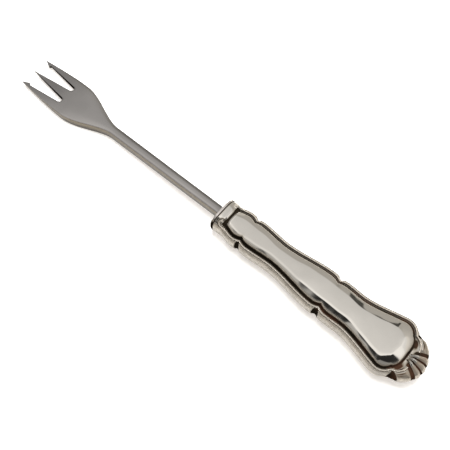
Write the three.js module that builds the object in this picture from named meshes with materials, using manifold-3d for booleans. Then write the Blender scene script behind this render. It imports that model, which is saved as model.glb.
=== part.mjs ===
// Gravlax fork: a forged steel fork whose tang is cemented into a hollow silver handle.
// The handle is two stamped halves soldered along their edges and closed by a slotted cap.
// Millimetres. +X runs from the handle to the tine tips, +Z is up, and the fork lies on its back on z = 0.
import * as THREE from 'three';
import { mergeVertices } from 'three/addons/utils/BufferGeometryUtils.js';
import Module from 'manifold-3d';

const wasm = await Module();
wasm.setup();

// Handle lengths, one after the other from the mouth to the shell end
const COLLAR_BAND = 3.4;
const COLLAR_GROOVE = 1.4;
const FRONT_SCALLOP = 7.8;
const MIDDLE_SCALLOP = 38.9;
const REAR_SCALLOP = 26.6;
const SHELL_SETBACK = 6.5;
const SHELL_RADIUS = 10.2;

// Half widths of the rim thread at the places that shape the outline
const THROAT_HALF_WIDTH = 5.0;
const FRONT_LOBE_HALF_WIDTH = 6.25;
const WAIST_HALF_WIDTH = 5.5;
const MIDDLE_LOBE_HALF_WIDTH = 7.6;
const REAR_WAIST_HALF_WIDTH = 7.5;
const SWELL_HALF_WIDTH = 10.65;
const CORNER_BULGE = 0.8;
const CORNER_SWEEP = THREE.MathUtils.degToRad(41.6);
const CUSP_DEPTH = 1.05;
const CUSP_REACH = 3.6;
const SIDE_BULGE = 1.15;
const THROAT_BULGE = 0.5;
const CORNER_TUCK = 0.4;

// Heights of the stamped relief above the seam, and the depth of the back half
const BACK_DEPTH = 5.25;
const PANEL_CROWN = 5.5;
const PANEL_RIDGE = 5.35;
const PANEL_SHOULDER = 4.6;
const GROOVE_FLOOR = 2.75;
const THREAD_CREST = 3.6;
const THREAD_GROOVE = 3.2;
const OUTER_THREAD = 3.35;
const FACET_RUN = 3.1;
const END_FACET_RUN = 4.3;
const SHOULDER_RUN = 1.05;
const THREAD_OFFSET = 0.85;
const THREAD_PITCH = 0.65;
const MOUTH_HALF_WIDTH = 6.95;
const MOUTH_HALF_HEIGHT = 5.4;
const BAND_HALF_HEIGHT = 5.2;
const COLLAR_SQUARENESS = 3;
const COLLAR_GROOVE_DEPTH = 0.9;

// Shell at the end of the handle
const SHELL_BASE = 2.2;
const SHELL_ROOT_HALF_WIDTH = 1.2;
const SHELL_CREST = 4.0;
const OUTER_VALLEY = THREE.MathUtils.degToRad(28.5);
const INNER_VALLEY = THREE.MathUtils.degToRad(9.6);
const VALLEY_DEPTH = 1.0;
const SCROLL_REACH = 1.9;

// Walls, cap, solder and filling
const SILVER_WALL = 0.7;
const CAP_INSET = 0.2;
const CAP_THICKNESS = 1.1;
const CAP_ROUND = 0.45;
const CAP_CORNERS = 48;
const SOLDER_WIDTH = 0.6;
const SOLDER_HEIGHT = 1.0;
const CLEARANCE = 0.3;

// Steel fork, measured forward from the mouth
const SHANK_LENGTH = 58.1;
const PALM_LENGTH = 30.2;
const TINE_LENGTH = 19.8;
const TANG_LENGTH = 52;
const SHANK_HALF_WIDTH = 1.75;
const NECK_HALF_WIDTH = 1.9;
const PALM_HALF_WIDTH = 8.74;
const TIP_HALF_SPREAD = 7.25;
const TANG_END_HALF_WIDTH = 0.9;
const MIDDLE_TINE_HALF_WIDTH = 2.3;
const SLOT_WIDTH = 2.5;
const SLOT_ROUND = 0.9;
const BARB_LENGTH = 3.0;
const BARB_STEP = 0.7;
const BARB_HALF_SPREAD = 5.65;
const BARB_ROOT_HALF_SPREAD = 6.45;
const POINT_HALF_WIDTH = 0.1;
const SHANK_CENTRE = 5.8;
const SHANK_THICKNESS = 4.4;
const NECK_THICKNESS = 4.2;
const SLOT_THICKNESS = 2.6;
const TIP_TOP = 2.4;
const TIP_THICKNESS = 1.0;
const PALM_CROWN = 0.5;
const HEEL_AT = 0.6;

const { lerp, smoothstep } = THREE.MathUtils;

// Places along the axis, as distances back from the mouth
const throat = COLLAR_BAND + COLLAR_GROOVE / 2;
const panelStart = COLLAR_BAND + COLLAR_GROOVE;
const firstCusp = panelStart + FRONT_SCALLOP;
const secondCusp = firstCusp + MIDDLE_SCALLOP;
const swell = secondCusp + REAR_SCALLOP;
const shellCentre = swell + SHELL_SETBACK;
const handleLength = shellCentre + SHELL_RADIUS;
const forkReach = SHANK_LENGTH + PALM_LENGTH + TINE_LENGTH;
const mouthX = (handleLength - forkReach) / 2;
const seamZ = BACK_DEPTH;

const silver = { color: 0xcdc8c0, roughness: 0.18, metalness: 1.0 };
const steel = { color: 0x85827d, roughness: 0.38, metalness: 1.0 };
const pitch = { color: 0x3a2a20, roughness: 0.85, metalness: 0.0 };
const solder = { color: 0xb0aca4, roughness: 0.45, metalness: 1.0 };

// Triangle lists hold points as [x, y, z]; a quad with two corners in one place becomes one triangle.
const samePoint = (a, b) => Math.hypot(a[0] - b[0], a[1] - b[1], a[2] - b[2]) < 1e-6;

function triangle(list, a, b, c) {
  if (!samePoint(a, b) && !samePoint(b, c) && !samePoint(c, a)) list.push([a, b, c]);
}

function quad(list, a, b, c, d) {
  triangle(list, a, b, c);
  triangle(list, a, c, d);
}

function sheet(list, rows, flipped) {
  for (let i = 0; i + 1 < rows.length; i += 1) {
    for (let j = 0; j + 1 < rows[i].length; j += 1) {
      const corners = [rows[i][j], rows[i + 1][j], rows[i + 1][j + 1], rows[i][j + 1]];
      if (flipped) corners.reverse();
      quad(list, ...corners);
    }
  }
}

// Joins two point rows of different length with a strip of triangles.
function strip(list, outer, inner, flipped) {
  const add = (a, b, c) => (flipped ? triangle(list, c, b, a) : triangle(list, a, b, c));
  let j = 0;
  let k = 0;
  while (j + 1 < outer.length || k + 1 < inner.length) {
    const outerNext = j + 1 < outer.length ? (j + 1) / (outer.length - 1) : Infinity;
    const innerNext = k + 1 < inner.length ? (k + 1) / (inner.length - 1) : Infinity;
    if (outerNext <= innerNext) {
      add(outer[j], outer[j + 1], inner[k]);
      j += 1;
    } else {
      add(outer[j], inner[k + 1], inner[k]);
      k += 1;
    }
  }
}

function signedVolume(list) {
  const points = list.map((corners) => corners.map((p) => new THREE.Vector3(...p)));
  return points.reduce((sum, [a, b, c]) => sum + a.dot(new THREE.Vector3().crossVectors(b, c)) / 6, 0);
}

function solidGeometry(list) {
  const outward = signedVolume(list) < 0 ? list.map(([a, b, c]) => [a, c, b]) : list;
  const geometry = new THREE.BufferGeometry();
  geometry.setAttribute('position', new THREE.Float32BufferAttribute(outward.flat(2), 3));
  return mergeVertices(geometry, 1e-4);
}

function toManifold(geometry) {
  return new wasm.Manifold(new wasm.Mesh({
    numProp: 3,
    vertProperties: new Float32Array(geometry.attributes.position.array),
    triVerts: new Uint32Array(geometry.index.array),
  }));
}

function fromManifold(solid) {
  const mesh = solid.getMesh();
  const geometry = new THREE.BufferGeometry();
  geometry.setAttribute('position', new THREE.BufferAttribute(new Float32Array(mesh.vertProperties), 3));
  geometry.setIndex(new THREE.BufferAttribute(new Uint32Array(mesh.triVerts), 1));
  return geometry;
}

// Outline of the handle: a smooth rim line with a cusp between the scallops
const rimPlaces = [
  [throat, THROAT_HALF_WIDTH],
  [lerp(throat, firstCusp, 0.55), FRONT_LOBE_HALF_WIDTH],
  [lerp(firstCusp, secondCusp, 0.1), FRONT_LOBE_HALF_WIDTH],
  [lerp(firstCusp, secondCusp, 0.4), WAIST_HALF_WIDTH],
  [lerp(firstCusp, secondCusp, 0.86), MIDDLE_LOBE_HALF_WIDTH],
  [lerp(secondCusp, swell, 0.2), MIDDLE_LOBE_HALF_WIDTH],
  [lerp(secondCusp, swell, 0.45), REAR_WAIST_HALF_WIDTH],
  [swell, SWELL_HALF_WIDTH],
];
const rimLine = new THREE.CubicInterpolant(
  rimPlaces.map(([back]) => back),
  rimPlaces.map(([, half]) => half),
  1,
);
const smoothRim = (back) => rimLine.evaluate(back)[0];

function cuspNotch(back) {
  const nearest = Math.min(Math.abs(back - firstCusp), Math.abs(back - secondCusp));
  return CUSP_DEPTH * Math.max(0, 1 - nearest / CUSP_REACH) ** 2;
}

// A spoke crosses the relief from the axis to the seam. It runs from its root to the floor of the deep
// groove and on to the seam; thread is how far past the groove floor the rim thread stands. Bead fades
// the threads out, ridge and flute shape the lobes of the shell end, and facet is the panel's sloped edge.
const plainRim = { thread: THREAD_OFFSET, bead: 1, ridge: 1, flute: 0, facet: END_FACET_RUN };

const throatBulge = (back) => THROAT_BULGE * Math.max(0, 1 - (back - throat) / FRONT_SCALLOP) ** 2;

function straightSpoke(back) {
  const x = mouthX - back;
  const at = Math.max(back, throat);
  const rim = smoothRim(at) - cuspNotch(at);
  const seam = smoothRim(at) + SIDE_BULGE + throatBulge(at) - 0.3 * cuspNotch(at);
  const facet = lerp(FACET_RUN, END_FACET_RUN, smoothstep(at, secondCusp, swell));
  return { ...plainRim, back, facet, root: [x, 0], groove: [x, rim - THREAD_OFFSET], seam: [x, seam] };
}

const swellX = mouthX - swell;
const shellX = mouthX - shellCentre;

function cornerSpoke(share) {
  const turn = Math.PI / 2 + CORNER_SWEEP * share;
  const along = (r) => [swellX + r * Math.cos(turn), r * Math.sin(turn)];
  const bulge = Math.sin(Math.PI * share);
  const rim = SWELL_HALF_WIDTH + CORNER_BULGE * bulge;
  const toShell = SHELL_SETBACK * -Math.cos(turn);
  const onShell = toShell + Math.sqrt(toShell ** 2 - SHELL_SETBACK ** 2 + SHELL_RADIUS ** 2);
  const seam = lerp(rim + SIDE_BULGE * (1 - CORNER_TUCK * bulge), onShell, smoothstep(share, 0.5, 1));
  return { ...plainRim, root: [swellX, 0], groove: along(rim - THREAD_OFFSET), seam: along(seam) };
}

const cuspSpoke = cornerSpoke(1);
const shellStart = Math.atan2(cuspSpoke.seam[1], shellX - cuspSpoke.seam[0]);
const baseX = shellX - SHELL_BASE;
const shellLobes = [
  [shellStart, OUTER_VALLEY],
  [OUTER_VALLEY, INNER_VALLEY],
  [INNER_VALLEY, -INNER_VALLEY],
];
const grooveCorner = new THREE.QuadraticBezierCurve(
  new THREE.Vector2(...cuspSpoke.groove),
  new THREE.Vector2(baseX, cuspSpoke.groove[1] * 0.85),
  new THREE.Vector2(baseX, SHELL_ROOT_HALF_WIDTH),
);

function shellSpoke(lobe, share) {
  const [from, to] = shellLobes[lobe];
  const angle = lerp(from, to, share);
  const scroll = lobe === 0 ? share : 1;
  const ridge = Math.sin(Math.PI * share) ** 0.6;
  const flute = lobe === 0 ? smoothstep(share, 0.55, 1) : 1;
  const groove = lobe === 0
    ? grooveCorner.getPoint(share).toArray()
    : [baseX, SHELL_ROOT_HALF_WIDTH * angle / OUTER_VALLEY];
  const radius = SHELL_RADIUS - 0.4 * VALLEY_DEPTH * flute * (1 - ridge);
  const seam = [shellX - radius * Math.cos(angle), radius * Math.sin(angle)];
  const thread = THREAD_OFFSET + SCROLL_REACH * Math.sin(Math.PI / 2 * scroll) ** 1.3;
  const bead = 1 - smoothstep(scroll, 0.8, 1);
  return { ...plainRim, root: [swellX, 0], groove, seam, thread, bead, ridge, flute };
}

const between = (a, b, count) => Array.from({ length: count }, (_, i) => lerp(a, b, (i + 1) / count));

// Spokes of the near side, from the mouth to the shell end on the axis
const spokes = [
  ...[0, COLLAR_BAND * 0.55, COLLAR_BAND, throat, panelStart].map(straightSpoke),
  ...between(panelStart, firstCusp - CUSP_REACH, 2).map(straightSpoke),
  ...between(firstCusp - CUSP_REACH, firstCusp, 3).map(straightSpoke),
  ...between(firstCusp, firstCusp + CUSP_REACH, 3).map(straightSpoke),
  ...between(firstCusp + CUSP_REACH, secondCusp - CUSP_REACH, 7).map(straightSpoke),
  ...between(secondCusp - CUSP_REACH, secondCusp, 3).map(straightSpoke),
  ...between(secondCusp, secondCusp + CUSP_REACH, 3).map(straightSpoke),
  ...between(secondCusp + CUSP_REACH, swell, 5).map(straightSpoke),
  ...between(0, 1, 6).map(cornerSpoke),
  ...between(0, 1, 7).map((share) => shellSpoke(0, share)),
  ...between(0, 1, 4).map((share) => shellSpoke(1, share)),
  ...between(0, 0.5, 2).map((share) => shellSpoke(2, share)),
];

// Relief along one spoke as [distance from the root, height above the seam]
function relief(spoke) {
  const inside = Math.hypot(spoke.groove[0] - spoke.root[0], spoke.groove[1] - spoke.root[1]);
  const outside = Math.hypot(spoke.seam[0] - spoke.groove[0], spoke.seam[1] - spoke.groove[1]);
  const ridge = inside - spoke.facet;
  const edge = inside - SHOULDER_RUN;
  const rows = [
    [0, PANEL_CROWN],
    [ridge / 2, lerp(PANEL_CROWN, PANEL_RIDGE, 0.25)],
    [ridge, PANEL_RIDGE],
    [(ridge + edge) / 2, lerp(PANEL_RIDGE, PANEL_SHOULDER, 0.45)],
    [edge, PANEL_SHOULDER],
  ];
  rows.push([inside - SHOULDER_RUN * 0.42, lerp(GROOVE_FLOOR, PANEL_SHOULDER, 0.4)]);
  rows.push([inside, GROOVE_FLOOR]);
  const crest = lerp(SHELL_CREST, THREAD_CREST, spoke.bead);
  const dip = lerp(crest - 0.1, THREAD_GROOVE, spoke.bead);
  const outer = lerp(crest - 0.25, OUTER_THREAD, spoke.bead);
  rows.push([inside + spoke.thread * 0.55, lerp(GROOVE_FLOOR, crest, 0.62)]);
  rows.push([inside + spoke.thread, crest]);
  rows.push([inside + spoke.thread + THREAD_PITCH * 0.5, dip]);
  const top = spoke.thread + THREAD_PITCH;
  [0, 0.5, 0.8, 0.95, 1].forEach((share) => {
    rows.push([inside + lerp(top, outside, share), outer * Math.sqrt(1 - share ** 2)]);
  });
  const valley = VALLEY_DEPTH * spoke.flute * (1 - spoke.ridge);
  return rows.map(([run, height], row) => {
    const past = (run - inside) / outside;
    return [run, row > 7 ? height - valley * Math.sin(Math.PI * past) : height];
  });
}

// Height of a squared oval with half width and half height 1
const squaredOval = (across) => (
  Math.max(0, 1 - Math.abs(across) ** COLLAR_SQUARENESS) ** (1 / COLLAR_SQUARENESS));

// The collar is a flared squared oval; its rows keep the places that they have across the throat.
function collarRelief(spoke) {
  const rows = relief(spoke);
  const throatSeam = rows[rows.length - 1][0];
  if (spoke.back >= panelStart) return rows;
  const share = Math.min(spoke.back / COLLAR_BAND, 1);
  const halfWidth = lerp(MOUTH_HALF_WIDTH, throatSeam, share);
  const halfHeight = lerp(MOUTH_HALF_HEIGHT, BAND_HALF_HEIGHT, share);
  const sunk = spoke.back > COLLAR_BAND ? COLLAR_GROOVE_DEPTH : 0;
  return rows.map(([run]) => {
    const across = run / throatSeam;
    return [halfWidth * across, (halfHeight - sunk) * squaredOval(across)];
  });
}

const sections = spokes.map((spoke) => (spoke.back === undefined ? relief(spoke) : collarRelief(spoke)));

// Rows of a lining that lies a given depth under the relief: [row of the relief, shift inward, shift down]
const liningRows = [
  [0, 0, 1],
  [2, 0, 1],
  [4, 0.2, 1],
  [6, 0.3, 1],
  [10, 0.6, 1.25],
  [12, 1, 0],
  [14, 1, 0],
];

function lining(section, depth) {
  return liningRows.map(([row, inward, down]) => {
    const [run, height] = section[row];
    const sideways = Math.max(0, run - depth * inward);
    return [sideways, down === 0 ? height * 0.75 : height - depth * down];
  });
}

// Turns rows along a spoke into points on the near side (side = 1) or the far side (side = -1)
function place(spoke, rows, side, toZ) {
  const groove = new THREE.Vector2(...spoke.groove);
  const toGroove = groove.clone().sub(new THREE.Vector2(...spoke.root));
  const toSeam = new THREE.Vector2(...spoke.seam).sub(groove).normalize();
  const inside = toGroove.length();
  toGroove.normalize();
  return rows.map(([run, height]) => {
    const first = Math.min(run, inside);
    const then = Math.max(0, run - inside);
    const x = spoke.root[0] + toGroove.x * first + toSeam.x * then;
    const y = spoke.root[1] + toGroove.y * first + toSeam.y * then;
    return [x, side * y, toZ(height)];
  });
}

// All spokes round the handle: near side out to the shell end, then back along the far side
function round(list, rowsOf, toZ) {
  const near = list.map((spoke, i) => place(spoke, rowsOf(i), 1, toZ));
  const far = list.map((spoke, i) => place(spoke, rowsOf(i), -1, toZ));
  return [...near, ...far.reverse().slice(1)];
}

const frontZ = (height) => seamZ + height;
const backZ = (height) => seamZ - Math.min(height, BACK_DEPTH);

function halfShell(toZ) {
  const list = [];
  const outer = round(spokes, (i) => sections[i], toZ);
  const inner = round(spokes, (i) => lining(sections[i], SILVER_WALL), toZ);
  const last = outer.length - 1;
  sheet(list, outer, false);
  sheet(list, inner, true);
  sheet(list, outer.map((row, i) => [row[row.length - 1], inner[i][inner[i].length - 1]]), false);
  strip(list, outer[0], inner[0], false);
  strip(list, outer[last], inner[last], true);
  return solidGeometry(list);
}

// The solder is a low bead that runs along the inside of the seam.
function seamSolder() {
  const list = [];
  const reach = SILVER_WALL + CLEARANCE;
  const behindMouth = spokes.slice(1);
  const edge = (i, inset) => [sections[i + 1][14][0] - inset, 0];
  const row = (inset, rise) => {
    const points = round(behindMouth, (i) => [edge(i, inset)], (height) => seamZ + height + rise);
    return points.map(([point]) => point);
  };
  const ring = [
    row(reach, SOLDER_HEIGHT / 2), row(reach + SOLDER_WIDTH, SOLDER_HEIGHT / 2),
    row(reach + SOLDER_WIDTH, -SOLDER_HEIGHT / 2), row(reach, -SOLDER_HEIGHT / 2),
  ];
  const rows = ring[0].map((_, i) => [ring[0][i], ring[1][i], ring[2][i], ring[3][i], ring[0][i]]);
  sheet(list, rows, false);
  quad(list, ...rows[0].slice(0, 4));
  quad(list, ...rows[rows.length - 1].slice(0, 4).reverse());
  return solidGeometry(list);
}

// The fork is a run of stations; each holds a top row and a bottom row of points from -Y to +Y.
function slab(list, stations) {
  sheet(list, stations.map((station) => station.top), false);
  sheet(list, stations.map((station) => station.bottom), true);
  const last = stations[0].top.length - 1;
  sheet(list, stations.map((station) => [station.bottom[0], station.top[0]]), false);
  sheet(list, stations.map((station) => [station.top[last], station.bottom[last]]), false);
}

function endFace(list, station, from, to, forward) {
  const rows = [station.top.slice(from, to + 1), station.bottom.slice(from, to + 1)];
  sheet(list, forward ? rows : rows.reverse(), false);
}

const neckX = mouthX + SHANK_LENGTH;
const slotX = neckX + PALM_LENGTH;
const tipX = slotX + TINE_LENGTH;
const slotEdge = MIDDLE_TINE_HALF_WIDTH + SLOT_WIDTH;
const slotMiddle = MIDDLE_TINE_HALF_WIDTH + SLOT_WIDTH / 2;
const tineMiddle = (PALM_HALF_WIDTH + slotEdge) / 2;
const columns = [PALM_HALF_WIDTH, tineMiddle, slotEdge, slotMiddle, MIDDLE_TINE_HALF_WIDTH, 0]
  .map((y) => y / PALM_HALF_WIDTH);
const across = [...columns.map((y) => -y), ...columns.slice(0, -1).reverse()];

// The fork is straight: its top falls evenly from the mouth to the tips.
const shankTop = SHANK_CENTRE + SHANK_THICKNESS / 2;
const topHeight = (x) => lerp(shankTop, TIP_TOP, (x - mouthX) / forkReach);

function bottomHeight(x) {
  if (x <= neckX) return topHeight(x) - lerp(SHANK_THICKNESS, NECK_THICKNESS, (x - mouthX) / SHANK_LENGTH);
  const share = (x - neckX) / PALM_LENGTH;
  const neckBottom = topHeight(neckX) - NECK_THICKNESS;
  if (share <= HEEL_AT) return neckBottom * (1 - smoothstep(share, -HEEL_AT * 0.2, HEEL_AT));
  const lift = topHeight(slotX) - SLOT_THICKNESS;
  if (x <= slotX) return lift * ((share - HEEL_AT) / (1 - HEEL_AT)) ** 1.8;
  const tine = (x - slotX) / TINE_LENGTH;
  return topHeight(x) - lerp(SLOT_THICKNESS, TIP_THICKNESS, tine);
}

function palmHalfWidth(x) {
  if (x <= neckX) return lerp(SHANK_HALF_WIDTH, NECK_HALF_WIDTH, (x - mouthX) / SHANK_LENGTH);
  const share = (x - neckX) / PALM_LENGTH;
  return lerp(NECK_HALF_WIDTH, PALM_HALF_WIDTH, smoothstep(share ** 0.92, 0.05, 0.87));
}

function steelPoint(x, y, halfWidth) {
  const swelling = smoothstep(x, neckX, lerp(neckX, slotX, HEEL_AT)) * (1 - smoothstep(x, slotX, tipX));
  const crown = PALM_CROWN * swelling * (1 - Math.min(1, Math.abs(y) / halfWidth) ** 2);
  return { top: [x, y, topHeight(x) + crown], bottom: [x, y, bottomHeight(x)] };
}

function station(points) {
  return { top: points.map((p) => p.top), bottom: points.map((p) => p.bottom) };
}

function palmStation(x) {
  const halfWidth = palmHalfWidth(x);
  const isSlotFloor = (share) => x === slotX && Math.abs(Math.abs(share) - columns[3]) < 1e-9;
  return station(across.map((share) => {
    const at = isSlotFloor(share) ? x - SLOT_ROUND : x;
    return steelPoint(at, share * halfWidth, halfWidth);
  }));
}

function tangStation(x) {
  const share = (mouthX - x) / TANG_LENGTH;
  const halfWidth = lerp(SHANK_HALF_WIDTH, TANG_END_HALF_WIDTH, share);
  const halfThick = lerp(SHANK_THICKNESS / 2, TANG_END_HALF_WIDTH, share);
  return station(across.map((part) => ({
    top: [x, part * halfWidth, SHANK_CENTRE + halfThick],
    bottom: [x, part * halfWidth, SHANK_CENTRE - halfThick],
  })));
}

function outerTine(side) {
  const reachX = tipX - BARB_LENGTH - BARB_STEP;
  const outerEdge = (x) => lerp(PALM_HALF_WIDTH, TIP_HALF_SPREAD, ((x - slotX) / TINE_LENGTH) ** 1.25);
  const innerEdge = (x) => lerp(slotEdge, BARB_ROOT_HALF_SPREAD, (x - slotX) / (reachX - slotX));
  const plan = [
    ...[slotX, ...between(slotX, reachX, 4)].map((x) => [x, innerEdge(x)]),
    [tipX - BARB_LENGTH, BARB_HALF_SPREAD],
    [tipX, TIP_HALF_SPREAD - 2 * POINT_HALF_WIDTH],
  ];
  return plan.map(([x, inner]) => {
    const outer = outerEdge(x);
    const row = [inner, (inner + outer) / 2, outer].map((y) => side * y).sort((a, b) => a - b);
    return station(row.map((y) => steelPoint(x, y, PALM_HALF_WIDTH)));
  });
}

function middleTine() {
  return [slotX, ...between(slotX, tipX, 5)].map((x) => {
    const half = lerp(MIDDLE_TINE_HALF_WIDTH, POINT_HALF_WIDTH, (x - slotX) / TINE_LENGTH);
    return station([-half, 0, half].map((y) => steelPoint(x, y, PALM_HALF_WIDTH)));
  });
}

function tangStations() {
  return [mouthX - TANG_LENGTH, mouthX - TANG_LENGTH / 2].map(tangStation);
}

function steelFork() {
  const list = [];
  const shank = [mouthX, ...between(mouthX, neckX, 4)];
  const palm = [...between(neckX, slotX - 2 * SLOT_ROUND, 11), slotX];
  const body = [...tangStations(), ...[...shank, ...palm].map(palmStation)];
  slab(list, body);
  endFace(list, body[0], 0, across.length - 1, false);
  const front = body[body.length - 1];
  endFace(list, front, 2, 4, true);
  endFace(list, front, 6, 8, true);
  [outerTine(-1), middleTine(), outerTine(1)].forEach((tine) => {
    slab(list, tine);
    endFace(list, tine[tine.length - 1], 0, 2, true);
  });
  return solidGeometry(list);
}

// The cap is a plate with a rounded edge that follows the mouth, and has a slot for the shank.
function mouthCap() {
  const halfWidth = MOUTH_HALF_WIDTH - CAP_INSET;
  const halfHeight = MOUTH_HALF_HEIGHT - CAP_INSET;
  const outline = between(0, 2 * Math.PI, CAP_CORNERS).map((turn) => {
    const squared = (part) => Math.sign(part) * Math.abs(part) ** (2 / COLLAR_SQUARENESS);
    return new THREE.Vector2(halfWidth * squared(Math.cos(turn)), halfHeight * squared(Math.sin(turn)));
  });
  const oval = new THREE.Shape(outline);
  const slotHalfWidth = SHANK_HALF_WIDTH + CLEARANCE;
  const slotHalfHeight = SHANK_THICKNESS / 2 + CLEARANCE;
  const slotZ = SHANK_CENTRE - seamZ;
  const slot = new THREE.Path();
  slot.moveTo(-slotHalfWidth, slotZ - slotHalfHeight);
  slot.lineTo(slotHalfWidth, slotZ - slotHalfHeight);
  slot.lineTo(slotHalfWidth, slotZ + slotHalfHeight);
  slot.lineTo(-slotHalfWidth, slotZ + slotHalfHeight);
  oval.holes.push(slot);
  const geometry = new THREE.ExtrudeGeometry(oval, {
    depth: CAP_THICKNESS - 2 * CAP_ROUND,
    bevelThickness: CAP_ROUND,
    bevelSize: CAP_ROUND,
    bevelOffset: -CAP_ROUND,
    bevelSegments: 2,
  });
  geometry.translate(0, 0, CAP_ROUND);
  geometry.rotateX(Math.PI / 2);
  geometry.rotateZ(Math.PI / 2);
  geometry.translate(mouthX, 0, seamZ);
  return geometry;
}

// The filling keeps clear of the silver and the solder, and has a tapered socket for the tang.
function fillerCore() {
  const list = [];
  const behindMouth = spokes.slice(1);
  const depth = SILVER_WALL + CLEARANCE + 0.1;
  const sideInset = SILVER_WALL + SOLDER_WIDTH + 2.5 * CLEARANCE;
  const rowsOf = (i) => {
    const section = sections[i + 1];
    const side = section[14][0] - sideInset;
    const rows = lining(section, depth).slice(0, 4);
    return [...rows, [side, rows[3][1] / 2], [side, 0]];
  };
  const top = round(behindMouth, rowsOf, frontZ);
  const bottom = round(behindMouth, rowsOf, backZ);
  const last = top.length - 1;
  sheet(list, top, false);
  sheet(list, bottom, true);
  sheet(list, [bottom[0], top[0]], false);
  sheet(list, [top[last], bottom[last]], false);
  const socket = [];
  const grown = [mouthX - TANG_LENGTH - CLEARANCE, mouthX].map((x) => {
    const share = (mouthX - x) / TANG_LENGTH;
    const half = lerp(SHANK_HALF_WIDTH, TANG_END_HALF_WIDTH, share) + CLEARANCE;
    const rise = lerp(SHANK_THICKNESS / 2, TANG_END_HALF_WIDTH, share) + CLEARANCE;
    const row = (z) => [[x, -half, z], [x, half, z]];
    return { top: row(SHANK_CENTRE + rise), bottom: row(SHANK_CENTRE - rise) };
  });
  slab(socket, grown);
  endFace(socket, grown[0], 0, 1, false);
  endFace(socket, grown[1], 0, 1, true);
  return fromManifold(toManifold(solidGeometry(list)).subtract(toManifold(solidGeometry(socket))));
}

const fork = new THREE.Group();

function addPiece(name, geometry, finish) {
  const mesh = new THREE.Mesh(geometry, new THREE.MeshStandardMaterial(finish));
  mesh.name = name;
  fork.add(mesh);
}

addPiece('front_shell', halfShell(frontZ), silver);
addPiece('back_shell', halfShell(backZ), silver);
addPiece('mouth_cap', mouthCap(), silver);
addPiece('seam_solder', seamSolder(), solder);
addPiece('filler_core', fillerCore(), pitch);
addPiece('steel_fork', steelFork(), steel);

export default fork;
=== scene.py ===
# %% [markdown]
# # A serving fork with a hollow silver handle
# The fork is a steel forging whose tang is cemented into a handle of two stamped silver halves.
# The CAD model already holds every piece at its real place and size. This lesson keeps that frame
# and gives each piece the fine relief, the polish and the tarnish that the real one has.

# %% Load the frame
import math

import bpy
import numpy as np
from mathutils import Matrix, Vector
from mathutils.bvhtree import BVHTree


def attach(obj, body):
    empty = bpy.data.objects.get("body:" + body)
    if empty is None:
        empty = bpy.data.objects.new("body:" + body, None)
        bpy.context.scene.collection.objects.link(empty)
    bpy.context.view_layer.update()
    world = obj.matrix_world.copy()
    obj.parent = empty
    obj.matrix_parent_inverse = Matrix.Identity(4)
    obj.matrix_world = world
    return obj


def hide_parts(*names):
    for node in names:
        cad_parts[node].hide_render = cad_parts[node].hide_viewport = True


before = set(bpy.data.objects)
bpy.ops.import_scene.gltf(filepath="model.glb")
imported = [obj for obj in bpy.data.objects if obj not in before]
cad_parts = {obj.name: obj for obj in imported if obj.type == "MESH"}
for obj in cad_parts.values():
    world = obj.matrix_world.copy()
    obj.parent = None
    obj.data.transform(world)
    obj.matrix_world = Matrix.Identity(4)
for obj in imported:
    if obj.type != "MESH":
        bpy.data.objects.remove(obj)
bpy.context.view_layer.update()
MM = 0.001


# %% [markdown]
# ## Camera
# The fork lies on a white table and is seen from above, from behind the end of its handle. A camera could
# be turned by hand until the view looks right. Its place was fitted to the picture instead, so a plain
# look-at camera with a short telephoto lens is enough.

# %% Camera
SENSOR_WIDTH, LENS, NEAREST_SIGHT = 36.0, 59.7, 10.0
CAMERA_PLACE, CAMERA_AIM = Vector((-88.09, 93.56, 269.67)), Vector((-8.27, 0.90, 0.0))
camera_data = bpy.data.cameras.new("table_camera")
camera_data.sensor_width = SENSOR_WIDTH
camera_data.lens = LENS
camera_data.clip_start = NEAREST_SIGHT * MM
camera = bpy.data.objects.new("table_camera", camera_data)
camera.location = CAMERA_PLACE * MM
aim = CAMERA_AIM * MM
camera.rotation_euler = (aim - camera.location).to_track_quat("-Z", "Y").to_euler()
bpy.context.collection.objects.link(camera)
bpy.context.scene.camera = camera
bpy.context.scene.view_settings.view_transform = "Standard"
print("camera distance in mm:", round((aim - camera.location).length / MM, 1))

# %% [markdown]
# ## Small helpers
# Node trees and meshes are made many times below, so a few helpers keep the later cells short. Lengths are
# written in millimetres and turned into metres in one place.

# %% Node helpers
def node_tree(owner):
    """Empties the nodes of a material or world and returns its tree."""
    owner.use_nodes = True
    tree = owner.node_tree
    tree.nodes.clear()
    return tree


def add_node(tree, kind, **values):
    """Adds a node; a name that starts with in_ sets the input of that name, others set properties."""
    node = tree.nodes.new(kind)
    for key, value in values.items():
        if key.startswith("in_"):
            node.inputs[key[3:].replace("_", " ")].default_value = value
        else:
            setattr(node, key, value)
    return node


def connect(tree, *pairs):
    """Links pairs of sockets, each an output and an input."""
    for start, end in pairs:
        tree.links.new(start, end)


def calculate(tree, operation, first, second):
    """A Math node. Each operand is a socket or a number."""
    node = add_node(tree, "ShaderNodeMath", operation=operation)
    for socket, operand in zip(node.inputs, (first, second)):
        if isinstance(operand, (int, float)):
            socket.default_value = operand
        else:
            tree.links.new(operand, socket)
    return node.outputs[0]


def map_value(tree, value, low, high, start=0.0, end=1.0):
    """Maps a socket that runs from start to end to the range from low to high."""
    ranger = add_node(
        tree, "ShaderNodeMapRange", in_From_Min=start, in_From_Max=end, in_To_Min=low, in_To_Max=high)
    tree.links.new(value, ranger.inputs["Value"])
    return ranger.outputs["Result"]


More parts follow.
